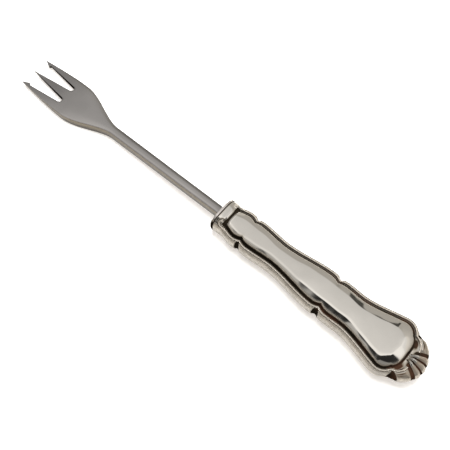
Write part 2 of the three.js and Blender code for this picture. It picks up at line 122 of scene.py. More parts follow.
def mix_colour(tree, factor, first, second, blend="MIX"):
    """Mixes two colours by a socket; each colour is a socket or three numbers."""
    mixer = add_node(tree, "ShaderNodeMix", data_type="RGBA", blend_type=blend)
    tree.links.new(factor, mixer.inputs[0])
    for socket, colour in ((mixer.inputs[6], first), (mixer.inputs[7], second)):
        if isinstance(colour, tuple):
            socket.default_value = (*colour, 1)
        else:
            tree.links.new(colour, socket)
    return mixer.outputs[2]


print("node helpers ready")

# %% Mesh helpers
def mesh_object(name, points_mm, faces, edges=()):
    """Makes a linked mesh object from points in millimetres."""
    mesh = bpy.data.meshes.new(name)
    mesh.from_pydata([tuple(MM * c for c in p) for p in points_mm], edges, faces)
    piece = bpy.data.objects.new(name, mesh)
    bpy.context.collection.objects.link(piece)
    return piece


def settle(piece):
    """Turns what the modifiers make into the object's own plain mesh."""
    made = bpy.data.meshes.new_from_object(piece.evaluated_get(bpy.context.evaluated_depsgraph_get()))
    piece.modifiers.clear()
    piece.data = made


def weld(piece, reach):
    """Merges points closer than a reach in metres when the modifiers are settled."""
    piece.modifiers.new("weld", "WELD").merge_threshold = reach


def carry(piece, name, values):
    """Gives each point of a mesh a value that its material can read."""
    piece.data.attributes.new(name, "FLOAT", "POINT").data.foreach_set("value", values)


def shade_smooth(piece):
    """Shades every face as part of a curved surface."""
    piece.data.polygons.foreach_set("use_smooth", [True] * len(piece.data.polygons))


print("mesh helpers ready")

# %% Number helpers
def lerp(a, b, t):
    """The value that lies a share t of the way from a to b."""
    return a + (b - a) * t


def smooth(x, low=0.0, high=1.0):
    """Rises from 0 at low to 1 at high, with level ends."""
    t = min(1.0, max(0.0, (x - low) / (high - low)))
    return t * t * (3 - 2 * t)


def bell(x, width):
    """1 at x = 0, falling off on both sides over a width."""
    return math.exp(-((x / width) ** 2))


def steps(low, high, count):
    """Even steps from low to high, without low itself."""
    return [lerp(low, high, (i + 1) / count) for i in range(count)]


print("number helpers ready, for example five steps to 1:", steps(0, 1, 5))

# %% [markdown]
# ## Table
# The table is white paper with the fork's soft shadow on it. Paper that only scatters light would come out
# grey, and paper that only glows would hide the shadow. So most of its brightness is scattered light, and a
# faint warm glow lifts the rest to white. Only direct sight, reflections and clear materials get the glow.

# %% Table
FLOOR_HALF, FLOOR_DROP = 2500.0, 0.05
PAPER, GLOW = (0.74, 0.75, 0.76, 1), (1.0, 0.94, 0.875, 1)
PAPER_GLOW, GLOW_IN_METAL = 0.58, 0.75
corners = [(FLOOR_HALF * x, FLOOR_HALF * y, -FLOOR_DROP) for x, y in ((-1, -1), (1, -1), (1, 1), (-1, 1))]
floor = mesh_object("table", corners, [(0, 1, 2, 3)])
paper = bpy.data.materials.new("white_table")
tree = node_tree(paper)
output = add_node(tree, "ShaderNodeOutputMaterial")
matte = add_node(tree, "ShaderNodeBsdfDiffuse", in_Color=PAPER)
glow = add_node(tree, "ShaderNodeEmission", in_Color=GLOW)
both = add_node(tree, "ShaderNodeAddShader")
light_path = add_node(tree, "ShaderNodeLightPath")
in_metal = calculate(tree, "MULTIPLY", light_path.outputs["Is Glossy Ray"], GLOW_IN_METAL)
seen = calculate(tree, "MAXIMUM", light_path.outputs["Is Camera Ray"], in_metal)
seen = calculate(tree, "MAXIMUM", seen, light_path.outputs["Is Transmission Ray"])
connect(
    tree,
    (calculate(tree, "MULTIPLY", seen, PAPER_GLOW), glow.inputs["Strength"]),
    (matte.outputs[0], both.inputs[0]),
    (glow.outputs[0], both.inputs[1]),
    (both.outputs[0], output.inputs["Surface"]),
)
floor.data.materials.append(paper)
print("table made")

# %% [markdown]
# ## Room and lamp
# Polished silver shows its surroundings, so the room matters more than the lamp. Walls and screens could be
# built round the fork, but a gradient in the world has no edges to hide and each patch of light can be
# placed by its angle. It runs round the fork's long axis: a warm mid grey wall on the far side, a pale
# ceiling with a bright strip over the fork, and a darker near side. Some places along the fork also see a
# dark stand there, which is wider behind the handle and leans toward the fork. Gradients along the fork
# say where, and mix the open room, the stand and its wide end. A small dark shade on the far wall is the
# product of two such gradients, and one more changes the room's light along the fork.

# %% Brightness round the fork
PLAIN_ROOM = [  # degrees from overhead towards the near side, brightness
    (-110, 0.40), (-60, 0.43), (-37, 0.42), (-33, 0.60), (-20, 0.63), (-12, 0.65), (-4, 0.76), (4, 0.80),
    (9, 0.66), (14, 0.52), (22, 0.54), (30, 0.46), (36, 0.28), (50, 0.12), (62, 0.18), (80, 0.40),
    (110, 0.60),
]
DARK_ROOM = [
    (-110, 0.40), (-60, 0.43), (-37, 0.42), (-33, 0.60), (-20, 0.67), (-12, 0.75), (-7, 0.92), (4, 1.0),
    (5, 0.95), (6.5, 0.02), (32, 0.01), (36, 0.20), (40, 0.18), (46, 0.06), (54, 0.04), (62, 0.14),
    (80, 0.40), (110, 0.60),
]
WIDE_END = [
    (-110, 0.40), (-60, 0.44), (-45, 0.50), (-33, 0.55), (-22, 0.73), (-12, 0.78), (-7, 0.93), (4, 1.0),
    (5, 0.95), (6.5, 0.03), (38, 0.02), (41, 0.27), (48, 0.27), (60, 0.10), (110, 0.30),
]
print("stops round the fork:", len(PLAIN_ROOM), len(DARK_ROOM), len(WIDE_END))

# %% Places along the fork
STAND_ALONG = [  # share of the direction that points along the fork, share of the stand seen there
    (-1.0, 1.0), (0.02, 0.9), (0.06, 1.0), (0.11, 1.0), (0.145, 0.85), (0.158, 0.3), (0.165, 0.15),
    (0.24, 0.1), (0.27, 0.5), (0.33, 0.6), (0.36, 0.2), (1.0, 0.2),
]
WIDE_END_ALONG = [(-1.0, 1.0), (-0.13, 1.0), (-0.06, 0.0), (1.0, 0.0)]
LEAN_ALONG, STAND_LEAN = [(-1.0, 1.0), (-0.31, 1.0), (-0.15, 0.0), (1.0, 0.0)], 18.0
SHADE_ALONG = [(-1.0, 0.0), (0.01, 0.0), (0.016, 1.0), (0.077, 1.0), (0.085, 0.0), (1.0, 0.0)]
SHADE_ACROSS = [(-110, 0.0), (-65, 0.0), (-62, 1.0), (-36, 1.0), (-33, 0.0), (110, 0.0)]
SHADE = (0.06, 0.06, 0.056)
LIGHT_ALONG, FULL_LIGHT = [  # how the room's light changes along the fork, as a share of the full light
    (-1.0, 0.74), (0.36, 0.74), (0.39, 1.0), (0.45, 0.96), (0.49, 0.86), (0.57, 0.86), (0.60, 0.66),
    (0.66, 0.5), (1.0, 0.5),
], 1.35
WARMTH, FAR_WARMTH = (1.0, 0.985, 0.955), (1.0, 0.97, 0.92)
FAR_WALL = [(-110, 1.0), (-37, 1.0), (-33, 0.0), (110, 0.0)]
print("stops along the fork:", len(STAND_ALONG), "for the stand,", len(LIGHT_ALONG), "for the light")

# %% Room
def gradient(tree, value, stops):
    """A colour ramp over a socket; stops are (value, brightness)."""
    low, high = stops[0][0], stops[-1][0]
    ramp = add_node(tree, "ShaderNodeValToRGB")
    elements = ramp.color_ramp.elements
    for index, (at, brightness) in enumerate(stops):
        position = (at - low) / (high - low)
        stop = elements[index] if index < 2 else elements.new(position)
        stop.position = position
        stop.color = (*(brightness * part for part in WARMTH), 1)
    tree.links.new(map_value(tree, value, 0.0, 1.0, low, high), ramp.inputs["Fac"])
    return ramp.outputs["Color"]


world = bpy.data.worlds.new("room")
bpy.context.scene.world = world
tree = node_tree(world)
output = add_node(tree, "ShaderNodeOutputWorld")
background = add_node(tree, "ShaderNodeBackground")
where = add_node(tree, "ShaderNodeTexCoord")
split = add_node(tree, "ShaderNodeSeparateXYZ")
tree.links.new(where.outputs["Generated"], split.inputs[0])
along = split.outputs["X"]
turn = calculate(tree, "ARCTAN2", split.outputs["Y"], split.outputs["Z"])
degrees = calculate(tree, "MULTIPLY", turn, 180 / math.pi)
lean = calculate(tree, "MULTIPLY", gradient(tree, along, LEAN_ALONG), STAND_LEAN)
leaning = calculate(tree, "ADD", degrees, lean)
open_room, dark_room = gradient(tree, degrees, PLAIN_ROOM), gradient(tree, leaning, DARK_ROOM)
room = mix_colour(tree, gradient(tree, along, STAND_ALONG), open_room, dark_room)
wide_end = gradient(tree, leaning, WIDE_END)
room = mix_colour(tree, gradient(tree, along, WIDE_END_ALONG), room, wide_end)
shade_along, shade_across = gradient(tree, along, SHADE_ALONG), gradient(tree, degrees, SHADE_ACROSS)
room = mix_colour(tree, calculate(tree, "MULTIPLY", shade_along, shade_across), room, SHADE)
room = mix_colour(tree, gradient(tree, degrees, FAR_WALL), room, FAR_WARMTH, "MULTIPLY")
light = calculate(tree, "MULTIPLY", gradient(tree, along, LIGHT_ALONG), FULL_LIGHT)
connect(
    tree,
    (light, background.inputs["Strength"]),
    (room, background.inputs["Color"]),
    (background.outputs[0], output.inputs["Surface"]),
)
print("room made")

# %% Lamp
LAMP_LENGTH, LAMP_WIDTH, LAMP_PLACE = 0.40, 0.30, (0.04, -0.13, 0.50)  # in metres
LAMP_POWER = 4.6
lamp_data = bpy.data.lights.new("overhead_lamp", "AREA")
lamp_data.shape = "RECTANGLE"
lamp_data.size = LAMP_LENGTH
lamp_data.size_y = LAMP_WIDTH
lamp_data.energy = LAMP_POWER
lamp = bpy.data.objects.new("overhead_lamp", lamp_data)
lamp.location = LAMP_PLACE
lamp.rotation_euler = (-lamp.location).to_track_quat("-Z", "Y").to_euler()
lamp.visible_glossy = False
bpy.context.collection.objects.link(lamp)
print("lamp made")

# %% [markdown]
# ## Shared finishes
# Two effects turn up on more than one metal. Handling leaves fine marks that change the gloss and nudge
# the highlights, and tarnish stays where a cloth can't reach. The tarnish nodes also paint shade and
# shadow where a mesh asks for it. Their nodes could be copied into each material. A node group is built
# once instead, and every metal uses it with its own scale and strength.

# %% Handling marks
def new_group(name, inputs, outputs):
    """A shader node group with named float inputs (name, value) and float outputs."""
    group = bpy.data.node_groups.new(name, "ShaderNodeTree")
    for socket, value in inputs:
        made = group.interface.new_socket(socket, in_out="INPUT", socket_type="NodeSocketFloat")
        made.default_value = value
    for socket in outputs:
        group.interface.new_socket(socket, in_out="OUTPUT", socket_type="NodeSocketFloat")
    return group, add_node(group, "NodeGroupInput"), add_node(group, "NodeGroupOutput")


wear_group, wear_in, wear_out = new_group(
    "Handling marks",
    [("Fine Scale", 2500.0), ("Stretch", 0.06), ("Cloud Scale", 90.0)],
    ["Marks", "Clouds"],
)
spot = add_node(wear_group, "ShaderNodeTexCoord")
squeeze = add_node(wear_group, "ShaderNodeCombineXYZ", in_Y=1.0, in_Z=1.0)
stretched = add_node(wear_group, "ShaderNodeVectorMath", operation="MULTIPLY")
lines = add_node(wear_group, "ShaderNodeTexNoise", in_Detail=3.0, in_Roughness=0.6)
clouds = add_node(wear_group, "ShaderNodeTexNoise", in_Detail=4.0, in_Roughness=0.55)
connect(
    wear_group,
    (wear_in.outputs["Stretch"], squeeze.inputs["X"]),
    (spot.outputs["Object"], stretched.inputs[0]),
    (squeeze.outputs[0], stretched.inputs[1]),
    (stretched.outputs[0], lines.inputs["Vector"]),
    (wear_in.outputs["Fine Scale"], lines.inputs["Scale"]),
    (spot.outputs["Object"], clouds.inputs["Vector"]),
    (wear_in.outputs["Cloud Scale"], clouds.inputs["Scale"]),
    (lines.outputs["Fac"], wear_out.inputs["Marks"]),
    (clouds.outputs["Fac"], wear_out.inputs["Clouds"]),
)
print("handling marks ready")

# %% Tarnish and painted shade
RED_FROM, RED_FULLY = -48.0, -64.0
FIRST_RED, FULL_RED = 0.42, 0.72
# Its mask paints tarnish, and also painted shade and shadow where a mesh asks for them.
tarnish_and_shade_group, tarnish_and_shade_in, tarnish_and_shade_out = new_group(
    "Tarnish and painted shade",
    [("Recess", 0.0), ("Patch Scale", 420.0), ("Patchiness", 0.5), ("Strength", 1.4)],
    ["Mask", "Redness"],
)
spot = add_node(tarnish_and_shade_group, "ShaderNodeTexCoord")
patch = add_node(tarnish_and_shade_group, "ShaderNodeTexNoise", in_Detail=5.0, in_Roughness=0.6)
tint = add_node(tarnish_and_shade_group, "ShaderNodeTexNoise", in_Scale=160.0, in_Detail=2.0)
split = add_node(tarnish_and_shade_group, "ShaderNodeSeparateXYZ")
connect(
    tarnish_and_shade_group,
    (spot.outputs["Object"], patch.inputs["Vector"]),
    (spot.outputs["Object"], tint.inputs["Vector"]),
    (spot.outputs["Object"], split.inputs[0]),
    (tarnish_and_shade_in.outputs["Patch Scale"], patch.inputs["Scale"]),
)
red_patches = map_value(tarnish_and_shade_group, tint.outputs["Fac"], 0.0, 1.0, FIRST_RED, FULL_RED)
rear = map_value(tarnish_and_shade_group, split.outputs["X"], 0.0, 1.0, RED_FROM * MM, RED_FULLY * MM)
red = calculate(tarnish_and_shade_group, "MULTIPLY", red_patches, rear)
tarnish_and_shade_group.links.new(red, tarnish_and_shade_out.inputs["Redness"])
spread = patch.outputs["Fac"]
for operation, operand in (
    ("SUBTRACT", 0.5),
    ("MULTIPLY", tarnish_and_shade_in.outputs["Patchiness"]),
    ("ADD", 1.0),
    ("MULTIPLY", tarnish_and_shade_in.outputs["Recess"]),
    ("MULTIPLY", tarnish_and_shade_in.outputs["Strength"]),
    ("MINIMUM", 1.0),
):
    spread = calculate(tarnish_and_shade_group, operation, spread, operand)
tarnish_and_shade_group.links.new(spread, tarnish_and_shade_out.inputs["Mask"])
print("tarnish ready")

# %% [markdown]
# ## The metals
# Silver is a warm, almost colourless mirror. Its tarnish could be painted on, but an attribute that the
# handle's mesh carries, which is high in the grooves, follows the relief exactly. The same attribute also
# holds painted shade: in the gap at the mouth, round the collar's scroll, and, beside tarnish, on the wall.
# A thin layer of tarnish is yellowish and still shines like metal; a thick one is black, or reddish toward
# the end of the handle, and dull, and painted shade takes the same colours. Steel has a satin grain along
# the fork, and the sides of the forging get painted shade, darker and duller than its face. The fine rim
# thread is rubbed by every cloth, so scratches on its silver scatter the light; its silver is also
# brighter and partly diffuse, a painted highlight.

# %% Worn metal
GRAIN_DEPTH = 0.02


def metal(name, bright, cloudy, gloss, marks, bump, finish=None, metallic=1.0):
    """A worn metal. bright and cloudy are its colours, gloss is its range of roughness, marks sets the
    scales of its wear and bump the strength of its grain; finish changes what the shader gets."""
    material = bpy.data.materials.new(name)
    tree = node_tree(material)
    output = add_node(tree, "ShaderNodeOutputMaterial")
    shader = add_node(tree, "ShaderNodeBsdfPrincipled", in_Metallic=metallic, in_Specular_IOR_Level=0.0)
    wear = add_node(tree, "ShaderNodeGroup", node_tree=wear_group)
    for socket, value in marks.items():
        wear.inputs[socket].default_value = value
    grain = add_node(tree, "ShaderNodeBump", in_Strength=bump, in_Distance=GRAIN_DEPTH * MM)
    tree.links.new(wear.outputs["Marks"], grain.inputs["Height"])
    sockets = {
        "Base Color": mix_colour(tree, wear.outputs["Clouds"], bright, cloudy),
        "Roughness": map_value(tree, wear.outputs["Marks"], *gloss),
        "Normal": grain.outputs[0],
    }
    if finish:
        finish(tree, sockets)
    for goal, socket in sockets.items():
        tree.links.new(socket, shader.inputs[goal])
    tree.links.new(shader.outputs[0], output.inputs["Surface"])
    return material


print("depth of the grain in mm:", GRAIN_DEPTH)

# %% Tarnish, painted shade and dark sides
# Colours of the tarnish, which the painted shade and shadow share.
BLACK_TARNISH_AND_SHADE, RED_TARNISH_AND_SHADE, THIN_TARNISH_AND_SHADE = (0.016, 0.012, 0.008), (0.070, 0.032, 0.019), (0.45, 0.375, 0.27)
# Painted shade on the steel's sides: a dark colour, with a higher roughness.
SIDE_SHADE, SIDE_ROUGHNESS = (0.05, 0.048, 0.046), 0.30


def toward(tree, factor, socket, value):
    """Moves a value socket toward a number by a factor socket."""
    mixer = add_node(tree, "ShaderNodeMix", data_type="FLOAT")
    mixer.inputs[3].default_value = value
    tree.links.new(factor, mixer.inputs[0])
    tree.links.new(socket, mixer.inputs[2])
    return mixer.outputs[0]


def apply_tarnish_and_shade(tree, sockets):
    """Tarnish and painted shade where the mesh's recess attribute asks for them."""
    carried = add_node(tree, "ShaderNodeAttribute", attribute_name="recess")
    tarnish = add_node(tree, "ShaderNodeGroup", node_tree=tarnish_and_shade_group)
    tree.links.new(carried.outputs["Fac"], tarnish.inputs["Recess"])
    shade_and_film = mix_colour(tree, tarnish.outputs["Redness"], BLACK_TARNISH_AND_SHADE, RED_TARNISH_AND_SHADE)
    thick = calculate(tree, "POWER", tarnish.outputs["Mask"], 2.0)
    thin = mix_colour(tree, tarnish.outputs["Mask"], sockets["Base Color"], THIN_TARNISH_AND_SHADE)
    sockets["Base Color"] = mix_colour(tree, thick, thin, shade_and_film)
    sockets["Metallic"] = map_value(tree, thick, 1.0, 0.0)


def dark_sided(tree, sockets):
    """Painted shade on the sides of the forging: darker and duller, and black between the tines."""
    side = add_node(tree, "ShaderNodeAttribute", attribute_name="side").outputs["Fac"]
    sockets["Base Color"] = mix_colour(tree, side, sockets["Base Color"], SIDE_SHADE)
    sockets["Roughness"] = toward(tree, side, sockets["Roughness"], SIDE_ROUGHNESS)
    apply_tarnish_and_shade(tree, sockets)


print("roughness of the dark sides:", SIDE_ROUGHNESS)

# %% Metals
silver = metal(
    "tarnished_and_shaded_silver", (0.91, 0.875, 0.825), (0.82, 0.785, 0.735), (0.02, 0.08),
    {"Fine Scale": 2600.0, "Stretch": 0.5, "Cloud Scale": 120.0}, 0.03, apply_tarnish_and_shade,
)
# The thread's brighter, partly diffuse silver is a painted highlight; its roughness is wear.
worn_silver_with_highlight = metal(
    "worn_silver_with_highlight", (0.94, 0.89, 0.81), (0.74, 0.64, 0.53), (0.15, 0.30),
    {"Fine Scale": 2600.0, "Stretch": 1.0, "Cloud Scale": 300.0}, 0.05, metallic=0.82,
)
cap_silver = metal(
    "cap_silver", (0.88, 0.82, 0.79), (0.78, 0.73, 0.70), (0.10, 0.22),
    {"Fine Scale": 2600.0, "Stretch": 0.5, "Cloud Scale": 150.0}, 0.05, apply_tarnish_and_shade,
)
steel = metal(
    "satin_steel", (0.43, 0.412, 0.404), (0.36, 0.345, 0.338), (0.09, 0.18),
    {"Fine Scale": 3200.0, "Stretch": 0.05, "Cloud Scale": 70.0}, 0.25, dark_sided,
)
dull_solder = metal(
    "dull_solder", (0.62, 0.60, 0.57), (0.48, 0.46, 0.43), (0.35, 0.55),
    {"Fine Scale": 1500.0, "Stretch": 1.0, "Cloud Scale": 300.0}, 0.4,
)
print("metals made:", [made.name for made in (silver, worn_silver_with_highlight, cap_silver, steel, dull_solder)])

# %% [markdown]
# ## The outline of the handle
# Every line on the handle follows one outline: scallops that meet in cusps, a swell and a round shell end.
# It could be drawn once as a curve, but the relief needs to know how far each place lies from the groove.
# So the half outline is described by spokes. A spoke runs from the axis over the panel to the floor of the
# deep groove, and on over the threads to the seam. The numbers are the same as in the CAD model.

# %% Handle sizes in millimetres
COLLAR_BAND, COLLAR_GROOVE = 3.4, 1.4
FRONT_SCALLOP, MIDDLE_SCALLOP, REAR_SCALLOP = 7.8, 38.9, 26.6
THROAT = COLLAR_BAND + COLLAR_GROOVE / 2
FIRST_CUSP = COLLAR_BAND + COLLAR_GROOVE + FRONT_SCALLOP
SECOND_CUSP = FIRST_CUSP + MIDDLE_SCALLOP
SWELL = SECOND_CUSP + REAR_SCALLOP
SHELL_SETBACK, SHELL_RADIUS = 6.5, 10.2
SHELL_CENTRE = SWELL + SHELL_SETBACK
SHANK_LENGTH, PALM_LENGTH, TINE_LENGTH = 58.1, 30.2, 19.8
FORK_REACH = SHANK_LENGTH + PALM_LENGTH + TINE_LENGTH
MOUTH_X = (SHELL_CENTRE + SHELL_RADIUS - FORK_REACH) / 2
SEAM_Z = BACK_DEPTH = 5.25
SWELL_HALF_WIDTH, CORNER_BULGE, CORNER_SWEEP = 10.65, 0.8, math.radians(41.6)
CUSP_DEPTH, CUSP_REACH, CUSP_AT_SEAM = 1.05, 3.6, 0.3
SIDE_BULGE, THROAT_BULGE, CORNER_TUCK = 1.15, 0.5, 0.4
THREAD_OFFSET, THREAD_PITCH = 0.85, 0.65
SWELL_X, SHELL_X = MOUTH_X - SWELL, MOUTH_X - SHELL_CENTRE
RIM_PLACES = [  # distance behind the mouth, half width of the rim thread
    (THROAT, 5.0), (lerp(THROAT, FIRST_CUSP, 0.55), 6.25), (lerp(FIRST_CUSP, SECOND_CUSP, 0.1), 6.25),
    (lerp(FIRST_CUSP, SECOND_CUSP, 0.4), 5.5), (lerp(FIRST_CUSP, SECOND_CUSP, 0.86), 7.6),
    (lerp(SECOND_CUSP, SWELL, 0.2), 7.6), (lerp(SECOND_CUSP, SWELL, 0.45), 7.5), (SWELL, SWELL_HALF_WIDTH),
]


def curve_through(places, x):
    """A smooth curve through places of (position, value)."""
    at, value = np.array(places).T
    secant = np.diff(value) / np.diff(at)
    slope = np.concatenate([secant[:1], (secant[1:] + secant[:-1]) / 2, secant[-1:]])
    i = int(np.clip(np.searchsorted(at, x) - 1, 0, len(at) - 2))
    run = at[i + 1] - at[i]
    t = (x - at[i]) / run
    bend = (2 * t**3 - 3 * t**2 + 1) * value[i] + (t**3 - 2 * t**2 + t) * run * slope[i]
    return float(bend + (3 * t**2 - 2 * t**3) * value[i + 1] + (t**3 - t**2) * run * slope[i + 1])


def smooth_rim(back):
    """Half width of the rim thread without its cusps."""
    return curve_through(RIM_PLACES, back)


print("mouth at x =", round(MOUTH_X, 3), "shell end at x =", round(SHELL_X - SHELL_RADIUS, 3))

# %% Spokes along the straight part and round the swell
FIRST_NOTCH, SECOND_NOTCH, THIRD_NOTCH, THIRD_NOTCH_SHIFT = 1.25, 1.6, 2.0, 0.7
RIDGE_STRAY, RIDGE_WAVES = 0.07, [(3.1, 1.0, 1.0), (1.5, 0.4, 0.7)]  # length, start and share of a wave
NEAR_RIDGE = [  # distance behind the mouth, how much closer to the groove the near ridge was ground
    (0.0, 1.1), (FIRST_CUSP, 1.0), (20.0, 0.6), (33.0, 0.8), (43.0, 0.0), (60.0, 0.0), (69.0, 1.1),
    (SWELL, 0.9),
]
PLAIN_RIM = dict(
    back=None, thread=THREAD_OFFSET, bead=1.0, ridge=1.0, flute=0.0, pocket=0.0, sunk=0.0, ground=0.0,
    spread=1.0)


def cusp(back):
    """1 in a cusp of the outline, 0 beyond its reach."""
    nearest = min(abs(back - FIRST_CUSP), abs(back - SECOND_CUSP))
    return max(0.0, 1 - nearest / CUSP_REACH) ** 2


def ridge_wobble(back):
    """How far the hand-finished ridge of the panel strays from its line."""
    stray = sum(share * math.sin(back / length + start) for length, start, share in RIDGE_WAVES)
    return RIDGE_STRAY * stray * (1 - smooth(back, SWELL - 6.0, SWELL))


def straight_spoke(back):
    """A spoke square to the axis, at a distance behind the mouth."""
    x = MOUTH_X - back
    at = max(back, THROAT)
    rim = smooth_rim(at) - CUSP_DEPTH * cusp(at)
    bulge = SIDE_BULGE + THROAT_BULGE * max(0.0, 1 - (at - THROAT) / FRONT_SCALLOP) ** 2
    seam = smooth_rim(at) + bulge - CUSP_AT_SEAM * CUSP_DEPTH * cusp(at)
    first = abs(at - FIRST_CUSP) < abs(at - SECOND_CUSP)
    notch = (at - FIRST_CUSP, FIRST_NOTCH) if first else (at - SECOND_CUSP, SECOND_NOTCH)
    return {**PLAIN_RIM, "back": back, "root": (x, 0.0), "groove": (x, rim - THREAD_OFFSET),
            "seam": (x, seam), "notch": notch, "sunk": CUSP_DEPTH * cusp(at) + ridge_wobble(at),
            "ground": curve_through(NEAR_RIDGE, back), "spread": smooth(at, SECOND_CUSP, SWELL)}


def corner_spoke(part):
    """A spoke round the swell, from part 0 at its widest place to 1 at the third cusp."""
    angle = math.pi / 2 + CORNER_SWEEP * part
    bulge = math.sin(math.pi * part)
    rim = SWELL_HALF_WIDTH + CORNER_BULGE * bulge
    to_shell = -SHELL_SETBACK * math.cos(angle)
    on_shell = to_shell + math.sqrt(to_shell**2 - SHELL_SETBACK**2 + SHELL_RADIUS**2)
    seam = lerp(rim + SIDE_BULGE * (1 - CORNER_TUCK * bulge), on_shell, smooth(part, 0.5, 1.0))
    reaches = (rim - THREAD_OFFSET, seam)
    groove, seam = ((SWELL_X + reach * math.cos(angle), reach * math.sin(angle)) for reach in reaches)
    return {**PLAIN_RIM, "root": (SWELL_X, 0.0), "groove": groove, "seam": seam,
            "notch": ((part - 1) * CORNER_SWEEP * rim - THIRD_NOTCH_SHIFT, THIRD_NOTCH),
            "sunk": -CORNER_BULGE * bulge, "ground": NEAR_RIDGE[-1][1] * (1 - smooth(part))}


print("half width at the second cusp:", round(straight_spoke(SECOND_CUSP)["seam"][1], 2))

# %% Spokes of the shell end
SHELL_ROOT, SHELL_BASE, SHELL_CREST = 1.2, 2.2, 4.0
VALLEY_DEPTH, VALLEY_AT_SEAM, LOBE_FULLNESS = 1.0, 0.4, 0.75
SCROLL_REACH, SCROLL_EASE, SCROLL_WIDTH, FLUTE_START = 1.9, 1.3, 0.85, 0.55
OUTER_VALLEY, INNER_VALLEY = math.radians(28.5), math.radians(9.6)
THIRD_CUSP = corner_spoke(1.0)
BASE_X = SHELL_X - SHELL_BASE
SHELL_START = math.atan2(THIRD_CUSP["seam"][1], SHELL_X - THIRD_CUSP["seam"][0])
LOBES = [(SHELL_START, OUTER_VALLEY), (OUTER_VALLEY, INNER_VALLEY), (INNER_VALLEY, -INNER_VALLEY)]


def shell_spoke(lobe, part):
    """A spoke over a lobe of the shell; the first lobe holds the scroll."""
    start, end = LOBES[lobe]
    angle = lerp(start, end, part)
    scroll = part if lobe == 0 else 1.0
    ridge = max(0.0, math.sin(math.pi * part)) ** LOBE_FULLNESS
    flute = smooth(part, FLUTE_START, 1.0) if lobe == 0 else 1.0
    if lobe == 0:
        a, b = THIRD_CUSP["groove"], (BASE_X, THIRD_CUSP["groove"][1] * SCROLL_WIDTH)
        c = (BASE_X, SHELL_ROOT)
        groove = tuple((1 - part)**2 * a[k] + 2 * part * (1 - part) * b[k] + part**2 * c[k] for k in (0, 1))
    else:
        groove = (BASE_X, SHELL_ROOT * angle / OUTER_VALLEY)
    radius = SHELL_RADIUS - VALLEY_AT_SEAM * VALLEY_DEPTH * flute * (1 - ridge)
    seam = (SHELL_X - radius * math.cos(angle), radius * math.sin(angle))
    ridge_at = lerp(SWELL_HALF_WIDTH - THREAD_OFFSET, SWELL_X - BASE_X, smooth(part) if lobe == 0 else 1.0)
    return {**PLAIN_RIM, "root": (SWELL_X, 0.0), "groove": groove, "seam": seam,
            "sunk": ridge_at - math.dist(groove, (SWELL_X, 0.0)),
            "thread": THREAD_OFFSET + SCROLL_REACH * math.sin(math.pi / 2 * scroll) ** SCROLL_EASE,
            "bead": 1 - smooth(scroll, 0.8, 1.0), "ridge": ridge, "flute": flute,
            "notch": ((SHELL_START - angle) * SHELL_RADIUS - THIRD_NOTCH_SHIFT, THIRD_NOTCH),
            "pocket": math.sin(math.pi * part) if lobe == 0 else 0.0}


print("third cusp in plan:", [round(c, 2) for c in THIRD_CUSP["seam"]])

# %% All spokes
COLLAR_END = 5.7
CUSP_STEPS = 16
backs = [0.0, 0.06, 0.15, 0.3] + steps(0.3, COLLAR_BAND, 14) + steps(COLLAR_BAND, COLLAR_END, 22)
for start, peak, count in ((COLLAR_END, FIRST_CUSP, 8), (FIRST_CUSP + CUSP_REACH, SECOND_CUSP, 44)):
    backs += steps(start, peak - CUSP_REACH, count)
    backs += steps(peak - CUSP_REACH, peak, CUSP_STEPS) + steps(peak, peak + CUSP_REACH, CUSP_STEPS)
backs += steps(SECOND_CUSP + CUSP_REACH, SWELL, 28)
spokes = [straight_spoke(back) for back in backs]
spokes += [corner_spoke(part) for part in steps(0, 1, 44)]
for lobe, (end, count) in enumerate(((1, 64), (1, 32), (0.5, 16))):
    spokes += [shell_spoke(lobe, part) for part in steps(0, end, count)]
print("spokes on each side:", len(spokes))

# %% [markdown]
# ## The relief
# Across each spoke the stamped sheet rises over a nearly flat panel, bends at a ridge into a sloping
# facet, drops into the deep groove, rises again to the double thread and rolls over to the seam. The
# ridges are ground by hand, and the near one lies closer to its groove. Such relief could be sculpted, but
# a height that is worked out along each spoke keeps every line beside the outline. A third value follows
# the height: how dark the point is painted, which later guides the tarnish. In the grooves it is tarnish;
# on the wall it is partly tarnish and partly painted shade; at the mouth and round the collar's scroll it
# is painted shade.

# %% Panel
PANEL_CROWN, GROOVE_FLOOR = 5.5, 2.75
RIDGE_RUN, END_RIDGE_RUN, SHOULDER_RUN = 3.6, 4.7, 1.05
DOME_SLOPE, SHOULDER_SLOPE = 0.06, 0.52
DARK_SHOULDER, DARK_FLANK = 1.05, 0.3
UNEVEN = 0.02
HAND_WAVES = [(2.9, 1.0, 0.45, 1.0), (1.6, 2.0, 0.8, 0.6)]  # length, start, turn across and share of a wave
PANEL_STEPS, FACET_STEPS = 9, 15
SHOULDER_ROWS = steps(0, 1, 10)


def panel_slope(gap, inside, ridge, run):
    """Downward slope of the panel at a distance from the groove; run is the usual width of the facet."""
    dome = DOME_SLOPE * min(1.0, (inside - gap) / (inside - ridge))
    bent = max(0.0, (ridge - gap) / (run - SHOULDER_RUN))
    return dome + (SHOULDER_SLOPE - DOME_SLOPE) * bent


